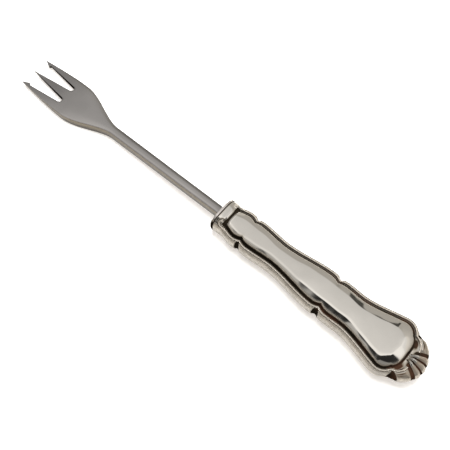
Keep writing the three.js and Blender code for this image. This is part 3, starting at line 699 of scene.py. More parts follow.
def panel_rows(inside, run, sunk):
    """Rows of (run, height, recess) from the axis to the floor of the groove."""
    ridge = run - sunk
    gaps = steps(inside, ridge, PANEL_STEPS) + steps(ridge, SHOULDER_RUN, FACET_STEPS)
    rows = [(0.0, PANEL_CROWN, 0.0)]
    before = inside
    for gap in gaps:
        fall = panel_slope((gap + before) / 2, inside, ridge, run) * (before - gap)
        rows.append((inside - gap, rows[-1][1] - fall, bell(gap, DARK_SHOULDER)))
        before = gap
    shoulder, slope = rows[-1][1], panel_slope(SHOULDER_RUN, inside, ridge, run) * SHOULDER_RUN
    for t in SHOULDER_ROWS:
        height = lerp(shoulder, GROOVE_FLOOR, smooth(t)) - slope * t * (1 - t) ** 2
        gap = SHOULDER_RUN * (1 - t)
        rows.append((inside - gap, height, bell(gap, DARK_SHOULDER)))
    return rows


def place(spoke, run, side):
    """Plan position of a run on its spoke."""
    root, groove = np.array(spoke["root"]), np.array(spoke["groove"])
    inside = np.linalg.norm(groove - root)
    first = (groove - root) / inside
    then = np.array(spoke["seam"]) - groove
    then = then / np.linalg.norm(then)
    x, y = root + first * min(run, inside) + then * max(0.0, run - inside)
    return x, side * y


def hand_work(x, y):
    """Slight unevenness that polishing by hand leaves on the panel."""
    rise = 0.0
    for length, start, across, share in HAND_WAVES:
        rise += share * math.cos(across * y) * math.sin(x / length + start)
    return UNEVEN * (rise - sum(wave[-1] for wave in HAND_WAVES))


PANEL_COUNT = len(panel_rows(6.0, RIDGE_RUN, 0.0))
print("rows on the panel:", PANEL_COUNT)

# %% Flutes and notches
THREAD_CREST, THREAD_GROOVE, OUTER_THREAD = 3.6, 3.2, 3.35
NOTCH_DEPTH, WEDGE_TOP = 0.5, 0.15


def flute_and_notch(spoke, inside, outside, row):
    """Cuts the valleys of the shell and the dark wedge in the wall under a cusp."""
    run, height, deep = row
    past = (run - inside) / outside
    if past <= 0:
        evened = smooth(inside - run, 0.2, SHOULDER_RUN)
        return run, height + evened * hand_work(*place(spoke, run, 1)), deep
    valley = spoke["flute"] * (1 - spoke["ridge"]) * math.sin(math.pi * min(1.0, past))
    in_valley = spoke["flute"] * smooth(1 - spoke["ridge"], 0.25, 0.6) * smooth(past, 0.0, 0.35)
    along, half_width = spoke["notch"]
    beyond = run - inside - spoke["thread"]
    down = max(1 - height / OUTER_THREAD, beyond / (outside - spoke["thread"]))
    wedge = half_width * lerp(WEDGE_TOP, 1.0, down)
    in_wedge = (1 - smooth(abs(along), 0.7 * wedge, 1.1 * wedge)) * smooth(beyond, 0.3, THREAD_PITCH)
    run -= NOTCH_DEPTH * in_wedge * smooth(down, 0.0, 0.3)
    return run, height - VALLEY_DEPTH * valley, min(1.0, max(deep, in_valley, in_wedge))


print("depth of the wedges in mm:", NOTCH_DEPTH)

# %% Threads and wall
FLANK_ROWS = steps(0, 1, 9)
THREAD_ROWS = steps(0, 1, 10)
WALL_ROWS = [math.sin(math.pi / 2 * t) for t in steps(0, 1, 16)]
CREST_ROW = PANEL_COUNT + len(FLANK_ROWS) - 1
# The wall is painted darker toward the thread: partly tarnish, partly painted shade; lighter low down.
WALL_SHADE_AND_FILM, LOW_WALL_SHADE_AND_FILM, POCKET_FILM, CRESCENT_DARKNESS = 0.52, 0.38, 0.9, 0.8
POCKET_DELAY, SHELL_DIP, SHELL_STEP, DARK_THREAD = 1.6, 0.1, 0.25, 0.22
# Darker lines are painted down the wall of the scroll.
CRESCENTS = [(0.2, 0.09), (0.5, 0.07)]  # place down the wall and width of the dark lines in the scroll


def relief(spoke, side, top_shade_and_film):
    """Rows of (run along the spoke, height over the seam, recess); top_shade_and_film lies high on the wall."""
    inside = math.dist(spoke["root"], spoke["groove"])
    outside = math.dist(spoke["groove"], spoke["seam"])
    facet = lerp(RIDGE_RUN, END_RIDGE_RUN, spoke["spread"])
    sunk = spoke["sunk"] + (spoke["ground"] if side > 0 else 0.0)
    rows = panel_rows(inside, facet, sunk)
    crest = lerp(SHELL_CREST, THREAD_CREST, spoke["bead"])
    late = 1 + POCKET_DELAY * spoke["pocket"]
    for t in FLANK_ROWS:
        run = spoke["thread"] * t
        deep = max(bell(run, DARK_FLANK), POCKET_FILM * spoke["pocket"] * (1 - smooth(t, 0.45, 0.8)))
        rows.append((inside + run, lerp(GROOVE_FLOOR, crest, smooth(t ** late)), deep))
    dip = lerp(crest - SHELL_DIP, THREAD_GROOVE, spoke["bead"])
    outer = lerp(crest - SHELL_STEP, OUTER_THREAD, spoke["bead"])
    for t in THREAD_ROWS:
        height = lerp(crest, dip, smooth(t * 2)) if t < 0.5 else lerp(dip, outer, smooth(t * 2 - 1))
        dark = spoke["bead"] * bell(t - 0.5, DARK_THREAD)
        rows.append((inside + spoke["thread"] + THREAD_PITCH * t, height, dark))
    top = spoke["thread"] + THREAD_PITCH
    for f in WALL_ROWS:
        height = outer * math.sqrt(max(0.0, 1 - f * f))
        shade_and_film = lerp(LOW_WALL_SHADE_AND_FILM, top_shade_and_film, smooth(height / outer, 0.15, 1.0))
        crescent = spoke["pocket"] * max(bell(f - at, width) for at, width in CRESCENTS)
        rows.append((inside + lerp(top, outside, f), height, max(shade_and_film, CRESCENT_DARKNESS * crescent)))
    return [flute_and_notch(spoke, inside, outside, row) for row in rows]


print("rows on each spoke:", len(relief(straight_spoke(20.0), 1, WALL_SHADE_AND_FILM)))

# %% Relief of the collar
MOUTH_HALF_WIDTH, MOUTH_HALF_HEIGHT, BAND_HALF_HEIGHT = 6.95, 5.4, 5.2
MOUTH_ROUND, COLLAR_GROOVE_DEPTH, COLLAR_SQUARENESS = 0.3, 0.9, 3
LIP_HEIGHT, LIP_INSET, LIP_WIDTH, FLARE_EASE = 0.15, 0.35, 0.4, 1.5
CURL_BACK, CURL_HALF_WIDTH, CURL_START, CURL_END = 2.9, 4.35, 1.1, 0.5
# Painted shade round the collar's scroll: radii and width of its dark lines, and strength near and far.
CURL_SHADE_LINES, CURL_SHADE_WIDTH, NEAR_CURL_SHADE, FAR_CURL_SHADE = (1.5, 0.6), 0.3, 0.8, 0.3
CUT_FROM, CUT_TO, CUT_OUT = 1.0, 4.4, 5.2
THROAT_SEAM = straight_spoke(THROAT)["seam"][1]


def squared_oval(across):
    """Height of a squared oval with half width and half height 1."""
    return max(0.0, 1 - abs(across) ** COLLAR_SQUARENESS) ** (1 / COLLAR_SQUARENESS)


def collar_relief(spoke, side, top_shade_and_film):
    """A squared band with a groove behind it on its flat face, which turns into the panel's relief."""
    rows = relief(spoke, side, top_shade_and_film)
    back = spoke["back"]
    if back is None or back >= COLLAR_END:
        return rows
    flare = max(0.0, 1 - back / COLLAR_BAND) ** FLARE_EASE
    lip = LIP_HEIGHT * bell(back - COLLAR_BAND + LIP_INSET, LIP_WIDTH)
    rounding = MOUTH_ROUND - math.sqrt(max(0.0, MOUTH_ROUND**2 - max(0.0, MOUTH_ROUND - back) ** 2))
    half_width = lerp(THROAT_SEAM, MOUTH_HALF_WIDTH, flare) + 0.3 * lip - rounding
    half_height = lerp(BAND_HALF_HEIGHT, MOUTH_HALF_HEIGHT, flare) + lip - rounding
    body = smooth(back, COLLAR_BAND + 0.3, COLLAR_END)
    # Painted shadow: a dark line round the mouth, in the gap beside the cap.
    mouth_gap_shadow = 1 - smooth(back, 0.3, 0.65)
    made = []
    for index, (run, height, deep) in enumerate(rows):
        across = run / rows[-1][0]
        out = lerp(half_width * across, run, body)
        blended = lerp(half_height * squared_oval(across), height, body)
        cut = bell(back - THROAT, 0.5 + 0.45 * smooth(out, CUT_FROM, CUT_TO))
        cut *= 1 - smooth(out, CUT_TO, CUT_OUT)
        # Painted shade in dark lines round the scroll, stronger on the near side.
        from_curl = math.hypot(back - CURL_BACK, out - CURL_HALF_WIDTH)
        curl_shade = max(bell(from_curl - at, CURL_SHADE_WIDTH) for at in CURL_SHADE_LINES) * (1 - body)
        curl_shade *= NEAR_CURL_SHADE if side > 0 else FAR_CURL_SHADE
        kept = deep if index > CREST_ROW else deep * smooth(body, 0.4, 0.9)
        dark = max(kept, smooth(cut, 0.2, 0.6), mouth_gap_shadow, curl_shade)
        made.append((out, blended - COLLAR_GROOVE_DEPTH * cut, dark))
    return made


near_rows = [collar_relief(spoke, 1, WALL_SHADE_AND_FILM) for spoke in spokes]
far_rows = [collar_relief(spoke, -1, WALL_SHADE_AND_FILM) for spoke in spokes]
back_rows = [collar_relief(spoke, -1, 0.0) for spoke in spokes]
print("collar half height:", round(max(row[1] for row in near_rows[8]), 2))

# %% [markdown]
# ## The two halves
# The spokes of the near side, out to the shell end, and of the far side, back to the mouth, make one grid
# of quads. Solidify could give it a wall, but would repeat every fine row inside, where nobody looks. So a
# coarser grid is the sheet's inner face, and strips along the seam and over the mouth close the wall. The
# back half is the same stamping turned over, pressed flat where it rests on the table.

# %% Faces of the sheet
WALL, LOW_ROW, LOW_SHARE = 0.7, -6, 0.75
LINING = [  # row of the relief, shift inwards and down in wall thicknesses
    (0, 0.0, 1.0), (PANEL_STEPS, 0.0, 1.0), (PANEL_STEPS + FACET_STEPS, 0.2, 1.0),
    (PANEL_COUNT - 1, 0.3, 1.0), (CREST_ROW + len(THREAD_ROWS), 0.6, 1.25),
]


def lining(rows):
    """Inner face of the sheet along a spoke."""
    made = []
    for index, inward, down in LINING:
        run, height, _ = rows[index]
        made.append((max(0.0, run - WALL * inward), height - WALL * down, 0.0))
    low, seam = rows[LOW_ROW], rows[-1]
    return made + [(low[0] - WALL, low[1] * LOW_SHARE, 0.0), (seam[0] - WALL, 0.0, 0.0)]


def columns(sections, rows_of, to_z, side):
    """Columns of (x, y, z, recess) along one side."""
    made = []
    for spoke, rows in zip(spokes, sections):
        made.append([(*place(spoke, run, side), to_z(height), deep) for run, height, deep in rows_of(rows)])
    return made


print("rows on the inner face:", len(lining(near_rows[0])))

# %% Stamped halves
WELD_REACH, SHARP_FOLD = 1e-6, math.radians(60)


def half_handle(name, near, far, to_z, facing_up):
    """A closed sheet: its outer and inner grid, the strip along the seam and the rims at the mouth."""
    outer, inner = (
        columns(near, rows_of, to_z, 1) + columns(far, rows_of, to_z, -1)[-2::-1]
        for rows_of in (lambda rows: rows, lining))
    points, faces = [], []
    for grid, flipped in ((outer, facing_up), (inner, not facing_up)):
        start, count = len(points), len(grid[0])
        points += [point for column in grid for point in column]
        for i in range(start, start + (len(grid) - 1) * count, count):
            for j in range(i, i + count - 1):
                quad = (j, j + count, j + count + 1, j + 1)
                faces.append(quad[::-1] if flipped else quad)
    high, low, base = len(outer[0]), len(inner[0]), len(outer) * len(outer[0])
    for i in range(len(outer) - 1):
        quad = ((i + 1) * high - 1, (i + 2) * high - 1, base + (i + 2) * low - 1, base + (i + 1) * low - 1)
        faces.append(quad[::-1] if facing_up else quad)
    for column, flipped in ((0, facing_up), (len(outer) - 1, not facing_up)):
        rim = [column * high + j for j in range(high)]
        rim += [base + column * low + j for j in range(low - 1, -1, -1)]
        faces.append(rim[::-1] if flipped else rim)
    return dress(mesh_object(name, [p[:3] for p in points], faces), [p[3] for p in points])


def dress(piece, recess):
    """Merges the two sides along the axis and gives the sheet its shading and finish."""
    carry(piece, "recess", recess)
    weld(piece, WELD_REACH)
    settle(piece)
    shade_smooth(piece)
    piece.data.set_sharp_from_angle(angle=SHARP_FOLD)
    piece.data.materials.append(silver)
    print(piece.name, "has", len(piece.data.polygons), "faces")
    return piece


front = half_handle("front_half", near_rows, far_rows, lambda h: SEAM_Z + h, True)
back = half_handle("back_half", back_rows, back_rows, lambda h: SEAM_Z - min(h, BACK_DEPTH), False)
for piece, node in ((front, "front_shell"), (back, "back_shell")):
    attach(piece, "root")
    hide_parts(node)

# %% [markdown]
# ## The rim thread
# The bright line beside the deep groove is a fine round thread that follows the outline from a small
# scroll at the collar to the scroll at the shell. A bevelled curve object could follow it too, but one tree
# of Geometry Nodes serves all four threads with the same named sizes: the path becomes a curve, and a small
# circle is swept along it.

# %% Thread tree
THREAD_SIDES = 10


def thread_tree():
    """The tree that sweeps the thread, and the identifiers of its inputs."""
    tree = bpy.data.node_groups.new("Rim thread", "GeometryNodeTree")
    tree.interface.new_socket("Path", in_out="INPUT", socket_type="NodeSocketGeometry")
    radius = tree.interface.new_socket("Thread Radius", in_out="INPUT", socket_type="NodeSocketFloat")
    step = tree.interface.new_socket("Step", in_out="INPUT", socket_type="NodeSocketFloat")
    finish = tree.interface.new_socket("Finish", in_out="INPUT", socket_type="NodeSocketMaterial")
    tree.interface.new_socket("Thread", in_out="OUTPUT", socket_type="NodeSocketGeometry")
    given = add_node(tree, "NodeGroupInput")
    made = add_node(tree, "NodeGroupOutput")
    curve = add_node(tree, "GeometryNodeMeshToCurve")
    even = add_node(tree, "GeometryNodeResampleCurve", mode="LENGTH")
    circle = add_node(tree, "GeometryNodeCurvePrimitiveCircle", in_Resolution=THREAD_SIDES)
    sweep = add_node(tree, "GeometryNodeCurveToMesh", in_Fill_Caps=True)
    soft = add_node(tree, "GeometryNodeSetShadeSmooth")
    real = add_node(tree, "GeometryNodeRealizeInstances")
    coat = add_node(tree, "GeometryNodeSetMaterial")
    connect(
        tree,
        (given.outputs["Path"], curve.inputs["Mesh"]),
        (curve.outputs["Curve"], even.inputs["Curve"]),
        (given.outputs["Step"], even.inputs["Length"]),
        (given.outputs["Thread Radius"], circle.inputs["Radius"]),
        (even.outputs["Curve"], sweep.inputs["Curve"]),
        (circle.outputs["Curve"], sweep.inputs["Profile Curve"]),
        (sweep.outputs["Mesh"], soft.inputs["Geometry"]),
        (soft.outputs["Geometry"], real.inputs["Geometry"]),
        (real.outputs["Geometry"], coat.inputs["Geometry"]),
        (given.outputs["Finish"], coat.inputs["Material"]),
        (coat.outputs["Geometry"], made.inputs["Thread"]),
    )
    return tree, radius.identifier, step.identifier, finish.identifier


THREAD_TREE, RADIUS_ID, STEP_ID, FINISH_ID = thread_tree()
print("thread tree made")

# %% Path of the thread
THREAD_RADIUS, THREAD_SINK, THREAD_STEP = 0.30, 0.7, 0.2
CURL_FROM, CURL_TO, CURL_POINTS = -120, 90, 30
OVERHEAD = 2 * SEAM_Z + 5.0
bpy.context.view_layer.update()
surface = BVHTree.FromObject(front, bpy.context.evaluated_depsgraph_get())


def height_at(x, y):
    """Height of the front half over the seam at a place in plan."""
    hit = surface.ray_cast(Vector((x, y, OVERHEAD)) * MM, Vector((0.0, 0.0, -1.0)))[0]
    return hit.z / MM - SEAM_Z


def thread_path():
    """Points of (x, y, height) on the near side."""
    points = []
    for turn in np.linspace(CURL_FROM, CURL_TO, CURL_POINTS):
        reach = lerp(CURL_END, CURL_START, (turn - CURL_FROM) / (CURL_TO - CURL_FROM))
        x = MOUTH_X - CURL_BACK + reach * math.cos(math.radians(turn))
        y = CURL_HALF_WIDTH + reach * math.sin(math.radians(turn))
        points.append((x, y, height_at(x, y)))
    for spoke, rows in zip(spokes, near_rows):
        if spoke["bead"] > 0.5 and (spoke["back"] is None or spoke["back"] > COLLAR_END):
            run, height, _ = rows[CREST_ROW]
            points.append((*place(spoke, run, 1), height))
    return points


PATH = thread_path()
print("points on the thread's path:", len(PATH))

# %% Threads on both halves
def rim_thread(name, to_z, side):
    """Sweeps the thread along its path on one side of a half."""
    points = [(x, side * y, to_z(height - THREAD_SINK * THREAD_RADIUS)) for x, y, height in PATH]
    piece = mesh_object(name, points, [], [(i, i + 1) for i in range(len(points) - 1)])
    maker = piece.modifiers.new("thread", "NODES")
    maker.node_group = THREAD_TREE
    maker[RADIUS_ID] = THREAD_RADIUS * MM
    maker[STEP_ID] = THREAD_STEP * MM
    maker[FINISH_ID] = worn_silver_with_highlight
    settle(piece)
    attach(piece, "root")
    return piece


for half, to_z in (("front", lambda h: SEAM_Z + h), ("back", lambda h: SEAM_Z - h)):
    for word, side in (("near", 1), ("far", -1)):
        thread = rim_thread(f"{half}_{word}_thread", to_z, side)
        print(thread.name, len(thread.data.polygons), "faces")

# %% [markdown]
# ## The cap
# A small plate closes the mouth round the shank. It could be an oval block with a slot cut out by Boolean,
# but a stack of rings needs no cut and has clean faces: out along the back, round the edge by a quarter
# circle, in over the front to the slot, and back through the slot. The cap is painted darker and duller
# toward its ends, far from the shank.

# %% Rings of the cap
SHANK_HALF_WIDTH, SHANK_THICKNESS, SHANK_CENTRE, SLOT_GAP = 1.75, 4.4, 5.8, 0.05
CAP_INSET, CAP_THICKNESS, CAP_ROUND, CAP_EDGE_RINGS = 0.2, 1.1, 0.45, 7
CAP_SIDES, CAP_BACK_EDGE, CAP_BACK_ROUND = 96, 0.1, 0.3
CAP_TURNS = [2 * math.pi * i / CAP_SIDES for i in range(CAP_SIDES)]


def squared(part):
    """Turns a cosine or sine into a coordinate on a squared oval."""
    return math.copysign(abs(part) ** (2 / COLLAR_SQUARENESS), part)


def oval_ring(x, shrink):
    """The cap's outline, drawn in by a distance."""
    half_y, half_z = MOUTH_HALF_WIDTH - CAP_INSET - shrink, MOUTH_HALF_HEIGHT - CAP_INSET - shrink
    return [(x, half_y * squared(math.cos(a)), SEAM_Z + half_z * squared(math.sin(a))) for a in CAP_TURNS]


def slot_ring(x):
    """The outline of the slot for the shank, with as many points as the oval."""
    half_y, half_z = SHANK_HALF_WIDTH + SLOT_GAP, SHANK_THICKNESS / 2 + SLOT_GAP
    reach = [1 / max(abs(math.cos(a)) / half_y, abs(math.sin(a)) / half_z) for a in CAP_TURNS]
    return [(x, r * math.cos(a), SHANK_CENTRE + r * math.sin(a)) for r, a in zip(reach, CAP_TURNS)]


rings = [slot_ring(MOUTH_X), oval_ring(MOUTH_X, CAP_ROUND * CAP_BACK_ROUND)]
rings.append(oval_ring(MOUTH_X + CAP_BACK_EDGE, 0.0))
for t in steps(0, 1, CAP_EDGE_RINGS):
    inward = CAP_ROUND * (1 - math.cos(math.pi / 2 * t))
    rings.append(oval_ring(MOUTH_X + CAP_THICKNESS - CAP_ROUND * (1 - math.sin(math.pi / 2 * t)), inward))
rings += [slot_ring(MOUTH_X + CAP_THICKNESS), slot_ring(MOUTH_X)]
print("cap rings:", len(rings))

# %% Mouth cap
CAP_FOLD = math.radians(50)
# The cap is painted darker and duller toward its ends.
CAP_END_DARKENING, DULL_FROM, DULL_FULLY = 0.75, 4.9, 6.2
faces = []
for start in range(0, (len(rings) - 1) * CAP_SIDES, CAP_SIDES):
    for i in range(CAP_SIDES):
        one, two = start + i, start + (i + 1) % CAP_SIDES
        faces.append((one, two, two + CAP_SIDES, one + CAP_SIDES))
cap = mesh_object("oval_cap", [p for ring in rings for p in ring], faces)
weld(cap, WELD_REACH)
settle(cap)
shade_smooth(cap)
cap.data.set_sharp_from_angle(angle=CAP_FOLD)
off_middle = [abs(vertex.co.y) / MM for vertex in cap.data.vertices]
carry(cap, "recess", [CAP_END_DARKENING * smooth(y, DULL_FROM, DULL_FULLY) for y in off_middle])
cap.data.materials.append(cap_silver)
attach(cap, "root")
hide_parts("mouth_cap")
print("cap faces:", len(cap.data.polygons))

# %% [markdown]
# ## The steel fork
# The forging is one straight bar whose palm widens from the neck and is slightly crowned. The slots end in
# round floors, and the outer tines carry a barb. A subdivided box would round the barbs away, so the fork
# is a run of stations along X, each with a top and a bottom row of points, and Bevel rounds the edges as
# the polishing wheel does. Two attributes tell the material where to paint shade on the forging: on the
# sides, blackest between the tines and close under the top edge, and along the far edge of the shank.

# %% Steel sizes and surfaces
NECK_X = MOUTH_X + SHANK_LENGTH
SLOT_X = NECK_X + PALM_LENGTH
TIP_X = SLOT_X + TINE_LENGTH
TANG_LENGTH, TANG_END, NECK_HALF_WIDTH, PALM_HALF_WIDTH, TIP_HALF_SPREAD = 52.0, 0.9, 1.9, 8.74, 7.25
MIDDLE_TINE, SLOT_WIDTH, SLOT_ROUND, POINT = 2.3, 2.5, 0.9, 0.1
SLOT_EDGE = MIDDLE_TINE + SLOT_WIDTH
BARB_LENGTH, BARB_STEP, BARB_SPREAD, BARB_ROOT = 3.0, 0.7, 5.65, 6.45
NECK_THICKNESS, SLOT_THICKNESS, TIP_TOP, TIP_THICKNESS = 4.2, 2.6, 2.4, 1.0
PALM_CROWN, SHANK_CROWN = 0.5, 0.27
HEEL_AT, HEEL_EASE, HEEL_RISE = 0.6, 0.2, 1.8
PALM_EASE, PALM_FROM, PALM_FULLY = 0.92, 0.05, 0.87
SHANK_TOP = SHANK_CENTRE + SHANK_THICKNESS / 2


def along_shank(x):
    """0 at the mouth, 1 at the neck."""
    return max(0.0, (x - MOUTH_X) / (NECK_X - MOUTH_X))


def top_height(x):
    """The fork is straight: its top falls evenly from the mouth to the tips."""
    return lerp(SHANK_TOP, TIP_TOP, (x - MOUTH_X) / (TIP_X - MOUTH_X))


def bottom_height(x):
    """The underside sinks from the neck to the heel on the table and rises again to the tips."""
    if x <= NECK_X:
        return top_height(x) - lerp(SHANK_THICKNESS, NECK_THICKNESS, along_shank(x))
    part = (x - NECK_X) / (SLOT_X - NECK_X)
    if part <= HEEL_AT:
        eased, start = (smooth(p, -HEEL_AT * HEEL_EASE, HEEL_AT) for p in (part, 0.0))
        return (top_height(NECK_X) - NECK_THICKNESS) * (1 - (eased - start) / (1 - start))
    if x <= SLOT_X:
        return (top_height(SLOT_X) - SLOT_THICKNESS) * ((part - HEEL_AT) / (1 - HEEL_AT)) ** HEEL_RISE
    tine = (x - SLOT_X) / (TIP_X - SLOT_X)
    return top_height(x) - lerp(SLOT_THICKNESS, TIP_THICKNESS, tine)


def palm_half_width(x):
    """Half width of the shank and of the palm."""
    if x <= NECK_X:
        return lerp(SHANK_HALF_WIDTH, NECK_HALF_WIDTH, along_shank(x))
    part = (x - NECK_X) / (SLOT_X - NECK_X)
    return lerp(NECK_HALF_WIDTH, PALM_HALF_WIDTH, smooth(part**PALM_EASE, PALM_FROM, PALM_FULLY))


def steel_pair(x, y, half_width):
    """Top and bottom point of the steel at a place."""
    palm = smooth(x, NECK_X, lerp(NECK_X, SLOT_X, HEEL_AT))
    crown = lerp(SHANK_CROWN, PALM_CROWN, palm) * (1 - smooth(x, SLOT_X, TIP_X))
    rise = crown * (1 - min(1.0, abs(y) / half_width) ** 2)
    return (x, y, top_height(x) + rise), (x, y, bottom_height(x))


print("tine tips at x =", round(TIP_X, 2))

# %% Stations
MIDDLE_COLUMNS, SLOT_COLUMNS, EDGE_COLUMNS = 3, 8, 4
HALF_COLUMNS = [0.0] + steps(0, MIDDLE_TINE, MIDDLE_COLUMNS) + steps(MIDDLE_TINE, SLOT_EDGE, SLOT_COLUMNS)
HALF_COLUMNS += steps(SLOT_EDGE, PALM_HALF_WIDTH, EDGE_COLUMNS)
COLUMNS = [-y / PALM_HALF_WIDTH for y in HALF_COLUMNS[:0:-1]] + [y / PALM_HALF_WIDTH for y in HALF_COLUMNS]


def palm_station(x):
    """Pairs across the shank or the palm; the last station bends back round the floors of the slots."""
    half = palm_half_width(x)
    pairs = []
    for part in COLUMNS:
        off_middle = (abs(part) * PALM_HALF_WIDTH - MIDDLE_TINE) / (SLOT_WIDTH / 2) - 1
        at_slot = abs(x - SLOT_X) < 1e-9
        floor_round = SLOT_ROUND * math.sqrt(max(0.0, 1 - off_middle**2)) if at_slot else 0.0
        pairs.append(steel_pair(x - floor_round, part * half, half))
    return pairs


def tang_station(x):
    """Pairs across the tang, which tapers into the handle."""
    part = (MOUTH_X - x) / TANG_LENGTH
    half, thick = lerp(SHANK_HALF_WIDTH, TANG_END, part), lerp(SHANK_THICKNESS / 2, TANG_END, part)
    return [((x, c * half, SHANK_CENTRE + thick), (x, c * half, SHANK_CENTRE - thick)) for c in COLUMNS]


print("columns across the palm:", len(COLUMNS))

# %% Tines
TINE_EASE = 1.25


def tine_edge(x):
    """Half spread of the outer edges of the tines."""
    return lerp(PALM_HALF_WIDTH, TIP_HALF_SPREAD, max(0.0, (x - SLOT_X) / (TIP_X - SLOT_X)) ** TINE_EASE)


def outer_tine(side):
    """Stations from the slot's floor over the step of the barb to the point."""
    reach, barb = TIP_X - BARB_LENGTH - BARB_STEP, TIP_X - BARB_LENGTH
    plan = []
    for x in [SLOT_X] + steps(SLOT_X, reach, 16):
        plan.append((x, lerp(SLOT_EDGE, BARB_ROOT, (x - SLOT_X) / (reach - SLOT_X))))
    plan.append((barb, BARB_SPREAD))
    tip = TIP_HALF_SPREAD - 2 * POINT
    plan += [(x, lerp(BARB_SPREAD, tip, (x - barb) / BARB_LENGTH)) for x in steps(barb, TIP_X, 5)]
    stations = []
    for x, inner in plan:
        row = sorted(side * lerp(inner, tine_edge(x), k / 4) for k in range(5))
        stations.append([steel_pair(x, y, PALM_HALF_WIDTH) for y in row])
    return stations


def middle_tine():
    """Stations of the plain tine in the middle."""
    stations = []
    for x in [SLOT_X] + steps(SLOT_X, TIP_X, 18):
        half = lerp(MIDDLE_TINE, POINT, (x - SLOT_X) / (TIP_X - SLOT_X))
        stations.append([steel_pair(x, half * k / 3, PALM_HALF_WIDTH) for k in range(-3, 4)])
    return stations


print("stations of the tines:", [len(tine) for tine in (outer_tine(-1), middle_tine(), outer_tine(1))])

# %% Steel mesh
STEEL_WELD, EDGE_ROUND, EDGE_STEPS, EDGE_ANGLE = 2e-6, 0.35, 3, math.radians(40)
SLOT_MARGIN = 1.4
steel_points, steel_faces = [], []


def steel_quad(*corners_mm):
    """Adds a face with four points of its own."""
    start = len(steel_points)
    steel_points.extend(corners_mm)
    steel_faces.append(tuple(range(start, start + 4)))


def slab(stations):
    """Top, bottom and both sides of a run of stations."""
    for one, two in zip(stations, stations[1:]):
        for j in range(len(one) - 1):
            steel_quad(one[j][0], two[j][0], two[j + 1][0], one[j + 1][0])
            steel_quad(one[j + 1][1], two[j + 1][1], two[j][1], one[j][1])
        steel_quad(one[0][1], two[0][1], two[0][0], one[0][0])
        steel_quad(one[-1][0], two[-1][0], two[-1][1], one[-1][1])


def end_face(station, first, last, forward):
    """Closes a station between two of its columns."""
    for j in range(first, last):
        face = [station[j][0], station[j][1], station[j + 1][1], station[j + 1][0]]
        steel_quad(*(face if forward else face[::-1]))


body = [tang_station(x) for x in (MOUTH_X - TANG_LENGTH, MOUTH_X - TANG_LENGTH / 2)]
lengthwise = [MOUTH_X] + steps(MOUTH_X, NECK_X, 14) + steps(NECK_X, SLOT_X - SLOT_MARGIN, 44) + [SLOT_X]
body += [palm_station(x) for x in lengthwise]
slab(body)
end_face(body[0], 0, len(COLUMNS) - 1, False)
centre, inner, outer = len(HALF_COLUMNS) - 1, MIDDLE_COLUMNS, MIDDLE_COLUMNS + SLOT_COLUMNS
for first, last in ((centre - outer, centre - inner), (centre + inner, centre + outer)):
    end_face(body[-1], first, last, True)
for tine in (outer_tine(-1), middle_tine(), outer_tine(1)):
    slab(tine)
    end_face(tine[-1], 0, len(tine[0]) - 1, True)
forging = mesh_object("forged_fork", steel_points, steel_faces)
weld(forging, STEEL_WELD)
edges = forging.modifiers.new("polished_edges", "BEVEL")
edges.width = EDGE_ROUND * MM
edges.segments = EDGE_STEPS
edges.limit_method = "ANGLE"
edges.angle_limit = EDGE_ANGLE
shade_smooth(forging)
settle(forging)
print("steel faces:", len(forging.data.polygons))

# %% Painted shade on the steel
FAR_EDGE_SHADE, FAR_EDGE_START, SLOT_SHADE, UNDER_EDGE_SHADE = 0.5, 0.1, 0.85, 0.5
normals = np.zeros(len(forging.data.vertices) * 3, dtype=np.float32)
forging.data.vertex_normals.foreach_get("vector", normals)
upright = np.abs(normals.reshape(-1, 3)[:, 2])
steepness = [1 - smooth(float(u), 0.25, 0.75) for u in upright]


def far_edge_shade(x, y):
    """Painted shade along the far edge of the shank."""
    across = max(0.0, -y / SHANK_HALF_WIDTH - FAR_EDGE_START) / (1 - FAR_EDGE_START)
    return FAR_EDGE_SHADE * min(1.0, across) * (1 - smooth(x, NECK_X - 4.0, NECK_X + 8.0))


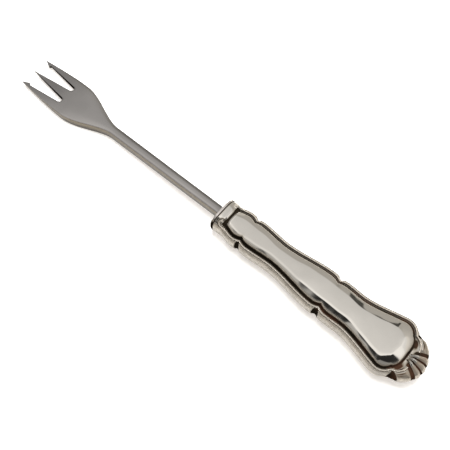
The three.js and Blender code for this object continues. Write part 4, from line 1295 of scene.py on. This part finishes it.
def between_tines(x, y):
    """1 inside the slots, 0 on the palm, the tips and the outer edges."""
    along = smooth(x, SLOT_X - 1.5, SLOT_X - 0.5) * (1 - smooth(x, TIP_X - 4.0, TIP_X - 1.0))
    return along * smooth(tine_edge(x) - abs(y), 0.5, 0.8)


def under_edge(x, z):
    """1 close under the top edge, 0 from the middle of the side down."""
    low, high = bottom_height(x), top_height(x)
    return smooth((z - low) / (high - low), 0.5, 0.9)


# Painted shade: the steep sides, the far edge of the shank, the slots and close under the top edge.
side_shade_values, steel_shade_values = [], []
for steep, vertex in zip(steepness, forging.data.vertices):
    x, y, z = vertex.co / MM
    side_shade_values.append(max(steep, far_edge_shade(x, y)))
    steel_shade_values.append(steep * max(SLOT_SHADE * between_tines(x, y), UNDER_EDGE_SHADE * under_edge(x, z)))
carry(forging, "side", side_shade_values)
carry(forging, "recess", steel_shade_values)
forging.data.materials.append(steel)
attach(forging, "root")
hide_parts("steel_fork")
print("share of the steel's points on its sides:", round(float(np.mean(upright < 0.5)), 2))

# %% [markdown]
# ## What lies inside
# The cement and the solder are closed in by the silver. Finer shapes would never be seen, so they stay the
# CAD solids and only get their finishes: a dark, grainy cement and a dull solder.

# %% Hidden pieces
DARK_CEMENT, PALE_CEMENT, CEMENT_GRAIN = (0.10, 0.06, 0.04), (0.26, 0.19, 0.14), 600.0
cement = bpy.data.materials.new("dark_cement")
tree = node_tree(cement)
output = add_node(tree, "ShaderNodeOutputMaterial")
shader = add_node(tree, "ShaderNodeBsdfPrincipled")
wear = add_node(tree, "ShaderNodeGroup", node_tree=wear_group)
wear.inputs["Cloud Scale"].default_value = CEMENT_GRAIN
connect(
    tree,
    (mix_colour(tree, wear.outputs["Clouds"], DARK_CEMENT, PALE_CEMENT), shader.inputs["Base Color"]),
    (map_value(tree, wear.outputs["Marks"], 0.7, 0.95), shader.inputs["Roughness"]),
    (shader.outputs[0], output.inputs["Surface"]),
)
for node, material in (("filler_core", cement), ("seam_solder", dull_solder)):
    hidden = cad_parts[node]
    hidden.data.materials.clear()
    hidden.data.materials.append(material)
print("hidden pieces finished")
